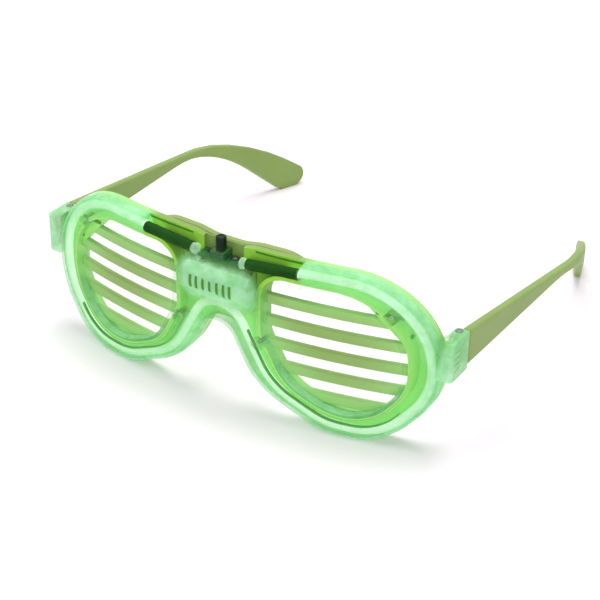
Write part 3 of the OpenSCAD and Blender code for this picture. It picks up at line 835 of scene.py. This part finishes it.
def bulgeCorners(grow):
    (x0, z0), (x1, z1), r = shell["bulge"]["low"], shell["bulge"]["high"], shell["bulge"]["radius"]
    x0, z0, x1, z1, r = x0 - grow, z0 - grow, x1 + grow, z1 + grow, max(0.4, r + grow)
    return [(x0, z1, r), (x1, z1, r), (x1, z0, r), (x0, z0, r)]


bulgeCounts = loopCounts(bulgeCorners(0))


def bulgeAt(grow):
    return loopPoints(bulgeCorners(grow), bulgeCounts)


# Depth of the bulge's skin at a distance inside its footprint
def bulgeDepth(inside, radius):
    half = (shell["bulge"]["high"][1] - shell["bulge"]["low"][1]) / 2
    across = max(0.0, half - inside)
    return shell["bulge"]["axisY"] - math.sqrt(radius ** 2 - across ** 2)


def makeShell():
    bm = bmesh.new()
    s, wall, face, back = shell, front["wallThickness"], front["faceThickness"], front["shellDepth"]
    nick, soft, end = front["chamfer"], front["softEdge"], front["eyeWallDepth"]
    outer = [(s["ledge"] + m, d) for m, d in roundEdge(s["edgeRadius"], 0)]
    outer += [(s["ledge"], s["ledgeDepth"] - s["ledgeRun"]), (0, s["ledgeDepth"])]
    outer += [(0, back - soft), (soft, back)]
    inside = [(wall, face + s["fillet"]), (wall + soft, face + soft), (wall + s["fillet"], face)]
    rim = growChain(bm, outlineAt, outer + [(wall - nick, back), (wall, back - nick)] + inside)
    fronts, backs = [rim[0]], [rim[-1]]
    for side in (1, -1):
        steps = roundEdge(s["eyeRadius"], 0) + [(0, end - s["lip"]), (s["lip"], end), (wall - nick, end)]
        chain = growChain(bm, eyeOpening(side), steps + [(wall, end - nick)] + inside)
        fronts.append(chain[0])
        backs.append(chain[-1])
    b = s["bulge"]
    last, first = b["skinSteps"][-1], b["innerStart"]
    skin = [(-k, bulgeDepth(k, b["outer"]) - b["rise"] * (1 - k / last)) for k in b["skinSteps"]]
    inner = [(-first, face)]
    inner += [(-first - k, max(bulgeDepth(k + first, b["inner"]), b["innerLimit"])) for k in b["innerSteps"]]
    for steps, group in ((b["foot"] + skin, fronts), (inner, backs)):
        chain = growChain(bm, bulgeAt, steps)
        group.append(chain[0])
        bmesh.ops.triangle_fill(bm, use_beauty=True, use_dissolve=False, edges=loopEdges(bm, chain[-1]))
    fillFlat(bm, fronts)
    fillFlat(bm, backs)
    half = front["width"] / 2
    for depth in (0.0, face):
        gridFlat(bm, depth, s["grid"], (-half, half), (0, front["height"]))
    for x in (pipe["darkX"], pipe["darkX"] + pipe["darkRun"]):
        for turn in (1, -1):
            cutAt(bm, (x * turn, 0, 0), (1, 0, 0))
    return wrapMesh(bm)


# Endpieces: a clear block on each side with two ears round the hinge, and the screw posts inside the shell
ends = {
    "innerX": 70.7, "outerX": 76.0, "frontY": 12.77, "stepX": 71.5, "stepY": 18.46, "backY": 23.8,
    "low": 27.0, "high": 40.5, "ear": 3.0, "cover": 1.0, "slotY": 18.46, "edge": 0.45,
    "frontNick": (1.6, 0.45, 0.5), "backNick": (1.2, 0.25, 0.5, 1.5), "slotRadius": 0.3,
    "pinX": 73.3, "pinY": 21.803, "boreRadius": 0.75,
    "ribs": (30.7, 32.9, 35.1, 37.3), "ribDepth": 0.25, "ribHeight": 0.9, "ribInset": (1.7, 1.0),
    "ribEdge": 0.12,
    "posts": [((14.938, 26.485), 1.9), ((56.526, 45.237), 1.55)], "postEnd": 5.55,
    "post": {"sink": 0.3, "foot": 0.5, "fillet": 0.15, "footHeight": 1.2, "edge": 0.3, "bore": (0.8, 0.75),
             "boreEnd": 1.6},
}


def makeEndpiece():
    e, mid = ends, front["middleY"]
    x0, x1, x2 = e["innerX"], e["stepX"], e["outerX"]
    y0, y1, y2 = e["frontY"], e["stepY"], e["backY"]
    (a, b, c), (k, m, n, q) = e["frontNick"], e["backNick"]
    plan = [(x0, y0), (x2 - a, y0), (x2 - b, y0 + c), (x2, y0 + a), (x2, y2), (x1 + k, y2),
            (x1 + m, y2 - n), (x1, y2 - q), (x1, y1), (x0, y1)]
    block = prism(plan, e["low"], e["high"], e["edge"])
    cuts = [roundedBox((x1 - 3, e["slotY"] - mid, e["low"] + e["ear"]),
                       (x2 - e["cover"], 5, e["high"] - e["ear"]), e["slotRadius"], 2)]
    cuts.append(rod(e["boreRadius"], -1, 20, (e["pinX"], e["pinY"] - mid, e["low"]), (0, 0, 1), 24))
    near, far = y0 + e["ribInset"][0] - mid, y1 - e["ribInset"][1] - mid
    for z in e["ribs"]:
        cuts.append(roundedBox((x2 - e["ribDepth"], near, z - e["ribHeight"] / 2),
                               (x2 + 1, far, z + e["ribHeight"] / 2), e["ribEdge"], 2))
    return carve(block, cuts)


def makePost(place, radius):
    (x, z), p = place, ends["post"]
    near = wrapPlace(x, front["faceThickness"] - p["sink"], z) / mm
    length = wrapPlace(x, ends["postEnd"], z).y / mm - near.y
    wide, narrow = p["bore"]
    profile = [(0, 0), (radius + p["foot"], 0), (radius + p["fillet"], p["foot"]), (radius, p["footHeight"]),
               (radius, length - p["edge"]), (radius - p["edge"], length), (wide, length),
               (narrow, p["boreEnd"]), (0, p["footHeight"])]
    return turned(profile, near, (0, 1, 0), 28)


shellMesh = makeShell()
for turn in (1, -1):
    joinInto(shellMesh, onSide(makeEndpiece(), turn))
    for place, radius in ends["posts"]:
        joinInto(shellMesh, makePost((place[0] * turn, place[1]), radius))
clearFront = makePiece("clear_front", shellMesh, "clearMint", "front", ["front_shell"], 40)


# Where the clear plastic glows and where it covers what lies behind it
def lightShell(piece):
    s = shell["light"]
    rimTree, bulgeTree = flatTree([outlineAt(0)]), flatTree([bulgeAt(0)])
    eyeTree = flatTree([eyeOpening(side)(s["wallMiddle"]) for side in (1, -1)])
    names = ("glow", "cover", "faint")
    for name in names:
        addValues(piece, name)
    layers = (piece.data.attributes[name].data for name in names)
    for vert, lit, thick, thin in zip(piece.data.vertices, *layers):
        depth, flat = depthOf(vert.co), Vector((vert.co.x, 0, vert.co.z)) / mm
        far, reached = glowTree.find(vert.co)[2] / mm, glowCut(vert.co)
        outside = rimTree.find(flat)[2] < s["rimBand"]
        lit.value = fading(far, *s["outer" if outside else "inner"]) * reached
        thick.value = s["rimCover"] * lit.value if outside and depth > s["rimDepth"] else 0.0
        # Round the bulge and on its skin the plastic is painted lit, a painted glow, and made more opaque as
        # frosted plastic
        bulgeFrostGlow = max(0.0, 1 - bulgeTree.find(flat)[2] / s["bulgeFrostGlowReach"])
        if depth < front["faceThickness"] + s["faceSkin"] and bulgeFrostGlow > 0:
            lit.value = max(lit.value, s["bulgeGlow"] * bulgeFrostGlow)
            thick.value = max(thick.value, s["bulgeCover"] * bulgeFrostGlow)
        thin.value = (1 - reached) * (1 - bulgeFrostGlow)
        if depth < s["bulgeDepth"]:
            lit.value, thick.value, thin.value = max(lit.value, s["bulgeGlow"]), s["bulgeCover"], 0.0
        elif abs(flat.x) > s["endX"]:
            lit.value, thick.value = max(lit.value, s["endGlow"]), s["endCover"]
        elif depth > s["wallDepth"] and eyeTree.find(flat)[2] < s["wallReach"]:
            low = min(1.0, max(0.0, (s["wallTopZ"] - flat.z) / s["wallFade"]))
            if abs(flat.x) < s["noseX"]:
                low = max(low, s["noseShare"])
            lit.value, thick.value = max(lit.value, fading(far, *s["wall"])), s["wallCover"] * low
            thin.value = 1 - low


lightShell(clearFront)
print("clear front:", len(clearFront.data.polygons), "faces")

# Trim in the clear front: a dark band inside the pipe and dark marks at the gussets, painted shade in the
# gaps there; a dark strip above each sleeve, a painted reflection of the sleeve; dark ribs on the bulge
trim = {
    # The first keys place the dark band inside the pipe, painted shade of the gap between pipe and eye wall
    "gapShadeInside": 1.75, "wallThick": 0.35, "wallDepth": (1.3, 2.3),
    "gapShadeCutouts": [((-90, -90, 30), (90, -40, 60)), ((60.5, -90, -5), (90, -40, 60)),
                 ((-90, -90, -5), (-60.5, -40, 60))],
    "ribsX": (-7.2, -5.0, -2.5, 0.0, 2.6, 5.0, 7.2), "ribWidth": 0.85, "ribLow": 41.6, "ribHigh": 46.0,
    "ribOuter": 7.19, "ribThick": 0.4, "ribEdge": 0.06, "ribParts": 6,
    # Dark marks at the gussets, painted shade in the gaps there
    "gapShades": [((55.5, 45.0), (9.0, 1.2), -5.0), ((61.7, 38.3), (3.6, 1.1), 56.0)], "gapShadeDepth": (3.72, 4.15),
    # A dark strip along the brow above each sleeve, a painted reflection of the sleeve in the top wall
    "sleeveReflectionMargins": (0.9, 1.5), "sleeveReflectionDepth": (5.52, 5.75),
    "sleeveReflectionCutouts": [((-90, -90, -5), (90, -40, 50)), ((-11.5, -90, 40), (11.5, -40, 60)),
                 ((28.5, -90, 40), (90, -40, 60)), ((-90, -90, 40), (-28.5, -40, 60))],
}


# A thin band between two margins and two depths, with gaps cut out
def thinBand(pointsAt, margins, depths, gaps):
    (a, b), (near, far) = margins, depths
    bm = bandMesh(pointsAt, [(a, near), (a, far), (b, far), (b, near)])
    return carve(wrapMesh(bm), [roundedBox(*gap, 0) for gap in gaps])


def besidePipe(more):
    return loopPoints(insetCorners(outline, pipeMargins(trim["gapShadeInside"] + more)), outlineCounts)


def makeRib(x):
    t, b = trim, shell["bulge"]
    bm = bmesh.new()
    bmesh.ops.create_cube(bm, size=1.0)
    for k in range(1, t["ribParts"]):
        cutAt(bm, (0, 0, k / t["ribParts"] - 0.5), (0, 0, 1), 1e-5)
    for v in bm.verts:
        z = t["ribLow"] + (v.co.z + 0.5) * (t["ribHigh"] - t["ribLow"])
        skin = b["axisY"] - math.sqrt(t["ribOuter"] ** 2 - (z - b["axisZ"]) ** 2)
        y = skin + (v.co.y + 0.5) * t["ribThick"]
        v.co = Vector((x + v.co.x * t["ribWidth"], y - front["middleY"], z)) * mm
    corners = [e for e in bm.edges if abs(e.verts[0].co.z - e.verts[1].co.z) < 1e-7]
    bevelEdges(bm, corners, t["ribEdge"] * mm, 2)
    return bm


# A dark mark at a gusset, painted shade in the gap there
def makeGapShade(place, size, tilt, turn):
    near, far = trim["gapShadeDepth"]
    bm = roundedBox((-size[0] / 2, 0, -size[1] / 2), (size[0] / 2, far - near, size[1] / 2), 0.2, 2)
    x, z = place
    spot = wrapPlace(x * turn, near, z)
    lean = math.asin(x * turn / front["wrapRadius"])
    spin = Matrix.Rotation(math.radians(-tilt * turn), 4, "Y")
    matrix = Matrix.Translation(spot) @ Matrix.Rotation(lean, 4, "Z") @ spin
    bmesh.ops.transform(bm, matrix=matrix, verts=bm.verts)
    return bm


# Painted shade: a dark band inside the pipe for the shaded gap between pipe and eye wall
pipeGapShade = thinBand(besidePipe, (0, trim["wallThick"]), trim["wallDepth"], trim["gapShadeCutouts"])
makePiece("pipe_gap_shade", pipeGapShade, "gapShadeGreen", "front")
# Painted reflection: a dark strip along the brow above each sleeve
sleeveReflectionStrip = thinBand(outlineAt, trim["sleeveReflectionMargins"], trim["sleeveReflectionDepth"], trim["sleeveReflectionCutouts"])
makePiece("sleeve_reflection_strip", sleeveReflectionStrip, "ribShadeAndReflectionGreen", "front")
ribs = bmesh.new()
for x in trim["ribsX"]:
    joinInto(ribs, makeRib(x))
makePiece("bulge_ribs", ribs, "ribShadeAndReflectionGreen", "front")
# Painted shade: dark marks in the gusset gaps
gapShades = bmesh.new()
for place, size, tilt in trim["gapShades"]:
    for turn in (1, -1):
        joinInto(gapShades, makeGapShade(place, size, tilt, turn))
makePiece("gusset_gap_shade", gapShades, "ribShadeAndReflectionGreen", "front")

# Olive frame behind the shell: plate, rings round the openings, corner webs and slats
olive = {
    "plateFront": 5.65, "inset": 0.05, "edge": 0.7, "eyeEdge": 0.5, "eyeNick": 0.2,
    "grid": 3.0, "glowReach": 8.0,
    "eyeWidths": [6.4, 11.1, 9.2, 8.6, 7.4, 7.2, 10.3, 15.8],
    "eyeRadii": [8, 6, 5, 17, 19, 26, 19, 9],
    "collar": {"margins": (1.25, 2.7), "near": 1.35, "far": 5.85, "edge": 0.15, "postGap": 0.6},
    "gussetFront": 4.0, "gussetRadii": [8, 23, 19, 17, 19, 26, 19, 9], "gussetWidth": 11.1,
    "gussetGrid": 1.5, "gussetSpan": (40, 72),
    "webSlots": [((53.6, 46.2), 3.2, 0.9, -28.0), ((59.4, 41.2), 2.6, 0.9, -62.0)], "slotEdge": 0.2,
    "pocket": ((-7.3, -80, 50.7), (7.3, -66.72, 60)),
    "bore": (6.0, -11.25, 11.9),
    "slatCount": 5, "slatLow": 10.8, "slatPitch": 7.7, "slatHeight": 3.5, "slatFront": 4.2, "slatBack": 6.4,
    "slatEdge": 0.55, "slatHold": 1.2, "slatParts": 16,
    "flange": {"margins": (0.35, 1.95), "sink": 0.2, "edge": [(0, 0.4), (0.15, 0.1), (0.45, 0)], "back": 3.45,
               "halfWidth": 15.7, "low": 9.3, "high": 32.6},
    "hingeBlock": ((70.4, -55.4, 30.15), (74.85, -53.97, 37.35)),
}


def boreCutter(radius, fromX, toX):
    b = shell["bulge"]
    return rod(radius, 0, toX - fromX, (fromX, b["axisY"] - front["middleY"], b["axisZ"]), (1, 0, 0), 48)


# The gusset stands forward of the plate across the opening's upper outer corner
def makeGusset(side):
    o, half = olive, front["halfOutline"]
    widths = list(o["eyeWidths"])
    widths[1] = front["eyeWidths"][1] - 1
    corners = eyeCorners(1, [w - 0.1 for w in widths], o["gussetRadii"])
    loop = loopPoints(corners, loopCounts(corners))
    bm = cappedChain(lambda margin: loop, [(0, o["gussetFront"]), (0, o["plateFront"] + 0.3)])
    a, b = (Vector((x, 0, z)) for x, z, r in half[2:4])
    inward = Vector((b.z - a.z, 0, a.x - b.x)).normalized()
    trimAt(bm, a + inward * o["gussetWidth"], inward)
    gridFlat(bm, o["gussetFront"], o["gussetGrid"], o["gussetSpan"])
    return onSide(wrapMesh(bm), side)


# The nose flange: a narrow band that stands back from the plate round the nose
def makeFlange():
    f = olive["flange"]
    (a, b), near, far = f["margins"], front["plateBack"] - f["sink"], front["plateBack"] + f["back"]
    steps = [(b, near), (a, near)] + [(a + m, far - d) for m, d in f["edge"]]
    bm = bandMesh(outlineAt, steps + [(b - m, far - d) for m, d in reversed(f["edge"])])
    trimAt(bm, (f["halfWidth"], 0, 0), (1, 0, 0))
    trimAt(bm, (-f["halfWidth"], 0, 0), (-1, 0, 0))
    trimAt(bm, (0, 0, f["low"]), (0, 0, -1))
    trimAt(bm, (0, 0, f["high"]), (0, 0, 1))
    return wrapMesh(bm)


# A collar in front of the plate, round the clear wall of each opening
def makeCollar(side):
    c = olive["collar"]
    (a, b), near, far, e, cuts = c["margins"], c["near"], c["far"], c["edge"], []
    steps = [(a, near + e), (a, far), (b, far), (b, near + e), (b - e, near), (a + e, near)]
    for (x, z), radius in ends["posts"]:
        cuts.append(rod(radius + c["postGap"], 0, 9, wrapPlace(x * side, 0.5, z) / mm, (0, 1, 0), 28))
    return carve(wrapMesh(bandMesh(eyeOpening(side), steps)), cuts)


# Cutters for the narrow slots in the corner webs
def webCutters(turn):
    cuts = []
    for (x, z), length, height, tilt in olive["webSlots"]:
        cutter = bmesh.new()
        bmesh.ops.create_cube(cutter, size=1.0)
        corners = [e for e in cutter.edges if abs(e.verts[0].co.y - e.verts[1].co.y) > 0.5]
        bevelEdges(cutter, corners, olive["slotEdge"], 3)
        size = Matrix.Diagonal((length, 20, height, 1))
        spin = Matrix.Rotation(math.radians(-tilt * turn), 4, "Y")
        place = Matrix.Translation((x * turn, wrapPlace(x, 6, z).y / mm, z))
        bmesh.ops.transform(cutter, matrix=Matrix.Scale(mm, 4) @ place @ spin @ size, verts=cutter.verts)
        cuts.append(cutter)
    return cuts


def makeFramePlate():
    bm = bmesh.new()
    o, face, back = olive, olive["plateFront"], front["plateBack"]
    inset, soft, nick = o["inset"], front["softEdge"], o["eyeNick"]
    outer = [(inset + soft, face), (inset, face + soft)]
    rim = growChain(bm, outlineAt, outer + [(inset + m, d) for m, d in farEdge(o["edge"], back)])
    fronts, backs = [rim[0]], [rim[-1]]
    for side in (1, -1):
        pointsAt = openingAt(eyeCorners(side, o["eyeWidths"], o["eyeRadii"]))
        steps = roundEdge(o["eyeEdge"], back, True) + [(0, face + nick), (nick, face)]
        chain = growChain(bm, pointsAt, steps)
        backs.append(chain[0])
        fronts.append(chain[-1])
    fillFlat(bm, fronts)
    fillFlat(bm, backs)
    half = front["width"] / 2
    for depth in (face, back):
        gridFlat(bm, depth, o["grid"], (-half, half), (0, front["height"]))
    cuts = [boreCutter(*o["bore"]), roundedBox(*o["pocket"], 0.0)]
    plate = carve(wrapMesh(bm), cuts + webCutters(1) + webCutters(-1))
    for side in (1, -1):
        joinInto(plate, carve(makeGusset(side), webCutters(side)))
        joinInto(plate, makeCollar(side))
    return plate


# Where a level line crosses the opening
def crossings(loop, z):
    found = []
    for a, b in zip(loop, loop[1:] + loop[:1]):
        if (a.y - z) * (b.y - z) < 0:
            found.append(a.x + (b.x - a.x) * (z - a.y) / (b.y - a.y))
    return min(found), max(found)


# One slat: a rounded bar extruded along x, its ends cut along the opening's edge
def makeSlat(loop, z):
    o = olive
    bm = bmesh.new()
    low, high = z - o["slatHeight"] / 2, z + o["slatHeight"] / 2
    spans = [crossings(loop, level) for level in (low, high)]
    x0, x1 = min(e[0] for e in spans) - 0.5, max(e[1] for e in spans) + 0.5
    middle, half = (o["slatFront"] + o["slatBack"]) / 2, (o["slatBack"] - o["slatFront"]) / 2
    bmesh.ops.create_grid(bm, x_segments=1, y_segments=1, size=1.0)
    for v in bm.verts:
        v.co = (x0, middle + v.co.x * half, z + v.co.y * o["slatHeight"] / 2)
    bmesh.ops.bevel(bm, geom=bm.verts[:], offset=o["slatEdge"], segments=4, profile=0.5,
                    affect="VERTICES", material=-1)
    raiseFaces(bm, (x1 - x0, 0, 0))
    for k in range(1, o["slatParts"]):
        cutAt(bm, (x0 + (x1 - x0) * k / o["slatParts"], 0, 0), (1, 0, 0))
    for i, way in ((0, -1), (1, 1)):
        a, b = Vector((spans[0][i], 0, low)), Vector((spans[1][i], 0, high))
        trimAt(bm, a, Vector((b.z - a.z, 0, a.x - b.x)) * way)
    return wrapMesh(bm)


frameMesh = makeFramePlate()
for side in (1, -1):
    ringLoop = eyeOpening(side)(olive["slatHold"])
    for k in range(olive["slatCount"]):
        joinInto(frameMesh, makeSlat(ringLoop, olive["slatLow"] + k * olive["slatPitch"]))
    joinInto(frameMesh, onSide(roundedBox(*olive["hingeBlock"], 0.3), side))
joinInto(frameMesh, makeFlange())
oliveFrame = makePiece("olive_frame", frameMesh, "olivePlastic", "front",
                       ["shutter_frame"], 40)
addGlow(oliveFrame, olive["glowReach"], (olive["plateFront"], olive["gussetFront"], olive["collar"]["near"]))
print("olive frame:", len(oliveFrame.data.polygons), "faces")

# Temples: a bowed band in plan, cut to the side view's profile, with rounded edges and a hinge knuckle
temple = {
    "planOuter": [(76.0, 24.103, 0), (78.4, 107.6, 60), (61.344, 151.2, 0)],
    "thickness": 2.8,
    "profile": [(24.103, 40.4, 0.3), (123.5, 26.5, 90), (159.3, 0, 4.5), (139.7, 0, 6), (108.4, 28.3, 60),
                (24.103, 28.3, 0.3)],
    "edge": 0.75, "grid": 3.0, "spanY": (24, 151), "spanZ": (0, 41), "lineStep": 1.0,
    "knuckle": {"radius": 1.6, "low": 30.1, "high": 37.4, "bore": 0.75, "edge": 0.25},
    "neck": ((72.7, -52.0, 30.1), (74.9, -48.3, 37.4)), "neckEdge": 0.2,
}


def planX(y, line):
    for a, b in zip(line, line[1:]):
        if a.y <= y <= b.y:
            return a.x + (b.x - a.x) * (y - a.y) / (b.y - a.y)
    return line[0].x if y < line[0].y else line[-1].x


def makeTemple():
    t = temple
    first, elbow, last = (Vector(c[:2]) for c in t["planOuter"])
    e1, e2 = (elbow - first).normalized(), (last - elbow).normalized()
    n1, n2 = Vector((-e1.y, e1.x)) * t["thickness"], Vector((-e2.y, e2.x)) * t["thickness"]
    inner = elbow + (e2 - e1) * t["thickness"] / e1.cross(e2)
    planInner = [(*(first + n1), 0), (*inner, t["planOuter"][1][2] - t["thickness"]), (*(last + n2), 0)]
    outerLine, innerLine = openPath(t["planOuter"], t["lineStep"]), openPath(planInner, t["lineStep"])
    bm = cappedChain(slabAt(t["profile"]), roundEdge(t["edge"], 0) + farEdge(t["edge"], t["thickness"]))
    for depth in (0.0, t["thickness"]):
        gridFlat(bm, depth, t["grid"], t["spanY"], t["spanZ"])
    for v in bm.verts:
        along, deep, z = v.co
        share = deep / t["thickness"]
        x = planX(along, outerLine) * (1 - share) + planX(along, innerLine) * share
        v.co = Vector((x, along - front["middleY"], z)) * mm
    closeMesh(bm)
    k = t["knuckle"]
    radius, bore, edge, height = k["radius"], k["bore"], k["edge"], k["high"] - k["low"]
    pin, up = (ends["pinX"], ends["pinY"] - front["middleY"], k["low"]), (0, 0, 1)
    profile = [(bore, 0), (radius - edge, 0), (radius, edge), (radius, height - edge),
               (radius - edge, height), (bore, height), (bore, 0)]
    joinInto(bm, turned(profile, pin, up, 32))
    joinInto(bm, carve(roundedBox(*t["neck"], t["neckEdge"], 2), [rod(bore, -1, 12, pin, up, 24)]))
    return bm


temples = [
    makePiece("temple_left", makeTemple(), "olivePlastic", "left_temple", ["left_temple"]),
    makePiece("temple_right", mirrorX(makeTemple()), "olivePlastic", "right_temple",
              ["right_temple"]),
]
print("temples made")

# Black sleeves, lamps, switch and button in the bridge
bridge = {
    "sleeve": {"outer": 1.8, "inner": 1.55, "from": 2.0, "length": 18.2, "lip": 0.35, "nick": (0.1, 0.15),
               "round": (0.08, 0.14), "plain": 0.45, "ridge": 0.05, "ridges": 12},
    "lamp": {"radius": 1.5, "flange": 1.8, "flangeHeight": 1.0, "nick": 0.1, "length": 5.2},
    "button": {"radius": 1.7, "y": 4.3, "base": 52.95, "collar": 1.95, "collarHeight": 0.55, "nick": 0.08,
               "top": 58.6, "edge": 0.5, "dish": 0.12},
    "switch": {"low": (-2.5, -72.05), "high": (2.5, -67.05), "base": 51.55, "lidLow": 53.15, "lidHigh": 54.1,
               "holes": [(2.1, 3, 51.9), (1.76, 5, 52.5)], "rivetSink": 0.12,
               "rivet": [(0, 0), (0.32, 0), (0.32, 0.1), (0.18, 0.22), (0, 0.22)],
               "rivets": [(-1.9, -71.55), (-1.9, -67.5), (1.9, -71.55), (1.9, -67.5)]},
}


def makeSleeve(side):
    s = bridge["sleeve"]
    o, i, n, lip = s["outer"], s["inner"], s["length"], s["lip"]
    (across, down), (inset, drop), plain = s["nick"], s["round"], s["plain"]
    tip = [(i, down), (i + across, 0), (o - lip, 0), (o - inset, drop), (o, plain)]
    profile = tip + [(o - s["ridge"] * (k % 2), plain + (n - 2 * plain) * k / s["ridges"])
                     for k in range(1, s["ridges"])]
    profile += [(r, n - h) for r, h in reversed(tip)] + tip[:1]
    start = sleeveStart + sleeveWay * s["from"] * mm
    return onSide(turned(profile, start / mm, sleeveWay, 40), side)


def flangeProfile(radius, height, nick):
    return [(0, 0), (radius - nick, 0), (radius, nick), (radius, height - nick), (radius - nick, height)]


def makeLamp(side):
    s = bridge["lamp"]
    r, dome = s["radius"], s["length"] - s["radius"]
    profile = flangeProfile(s["flange"], s["flangeHeight"], s["nick"]) + [(r, s["flangeHeight"]), (r, dome)]
    angles = [math.radians(k) for k in range(10, 90, 10)]
    profile += [(r * math.cos(a), dome + r * math.sin(a)) for a in angles] + [(0, s["length"])]
    return onSide(turned(profile, sleeveStart / mm, sleeveWay, 36), side)


for side, label in ((1, "left"), (-1, "right")):
    sleeve, lamp = makeSleeve(side), makeLamp(side)
    makePiece("sleeve_" + label, sleeve, "blackSleeve", "front", [label + "_sleeve"], 50)
    makePiece("lamp_" + label, lamp, "litLamp", "front", [label + "_led"], 40)

b, s, up = bridge["button"], bridge["switch"], (0, 0, 1)
capY, rise = b["y"] - front["middleY"], b["top"] - b["base"]
profile = flangeProfile(b["collar"], b["collarHeight"], b["nick"])
profile += [(b["radius"], b["collarHeight"]), (b["radius"], rise - b["edge"])]
profile += [(b["radius"] - b["edge"] * (1 - math.cos(a)), rise - b["edge"] * (1 - math.sin(a)))
            for a in (math.radians(k) for k in (22, 45, 68, 90))]
profile += [(b["radius"] * 0.5, rise - b["dish"] * 0.8), (0, rise - b["dish"])]
cap = turned(profile, (0, capY, b["base"]), up, 40)
makePiece("push_cap", cap, "blackButton", "button", ["push_button"], 40)

switchBase = roundedBox((*s["low"], s["base"]), (*s["high"], s["lidLow"]), 0.2, 2)
lid = roundedBox((*s["low"], s["lidLow"]), (*s["high"], s["lidHigh"]), 0.15, 2)
baseHole, lidHole = (rod(radius, -1, length, (0, capY, z), up, 32) for radius, length, z in s["holes"])
switchMesh = carve(switchBase, [baseHole])
joinInto(switchMesh, carve(lid, [lidHole]))
for place in s["rivets"]:
    joinInto(switchMesh, turned(s["rivet"], (*place, s["lidHigh"] - s["rivetSink"]), up, 16))
makePiece("tact_switch", switchMesh, "greenPlastic", "front", ["switch_body"], 40)
print("bridge pieces made")

# Battery door on the wearer's side, with the brow cover above it
door = {
    "corners": [(-12.6, 50.8, 1.5), (13.25, 50.8, 1.5), (13.25, 37.2, 1.5), (3.4, 37.2, 0.8),
                (3.4, 33.2, 1.0), (-3.4, 33.2, 1.0), (-3.4, 37.2, 0.8), (-12.6, 37.2, 1.5)],
    "near": 8.05, "far": 12.0, "edge": 0.6, "grid": 3.0, "span": (-13, 14), "bore": (6.05, -11.2, 11.85),
    "screw": (0, 35.4), "screwBore": 0.8, "headBore": 1.4, "headDepth": 12.2,
    "grips": (-9.0, -8.0, -7.0, 8.0, 9.0, 10.0), "gripHalf": 0.3, "gripDepth": 0.35, "gripEdge": 0.12,
    "gripZ": (39.5, 48.5), "glowReach": 1.5,
}
browHalf = [(5.3, 55.88, 5), (11.2, 56.88, 8), (21.5, 56.88, 12), (29.4, 53.6, 1.2), (29.4, 50.45, 0.6)]
browCover = {"corners": browHalf + mirroredCorners(browHalf), "far": 10.4, "edge": 0.5, "span": (-30, 30)}


# A slab that follows the front's curve, rounded at its far edge
def makeSlab(look):
    near, nick = door["near"], front["chamfer"]
    steps = [(nick, near), (0, near + nick)] + farEdge(look["edge"], look["far"])
    bm = cappedChain(slabAt(look["corners"]), steps)
    for depth in (near, look["far"]):
        gridFlat(bm, depth, door["grid"], look["span"])
    return wrapMesh(bm)


def makeDoor():
    d, (x, z), (low, high) = door, door["screw"], door["gripZ"]
    place, back = (x, -front["middleY"] - 1, z), (0, 1, 0)
    cuts = [boreCutter(*d["bore"]), rod(d["screwBore"], 0, 30, place, back, 32),
            rod(d["headBore"], d["headDepth"], 30, place, back, 32)]
    for grip in d["grips"]:
        y = wrapPlace(grip, d["far"], z).y / mm
        cuts.append(roundedBox((grip - d["gripHalf"], y - d["gripDepth"], low),
                               (grip + d["gripHalf"], y + 2, high), d["gripEdge"], 2))
    slab = carve(makeSlab(d), cuts)
    joinInto(slab, makeSlab(browCover))
    return slab


doorMesh = makeDoor()
doorPiece = makePiece("door_cover", doorMesh, "olivePlastic", "front", ["battery_door"], 40)
for item in (doorPiece, *temples):
    addGlow(item, door["glowReach"])
print("door made")
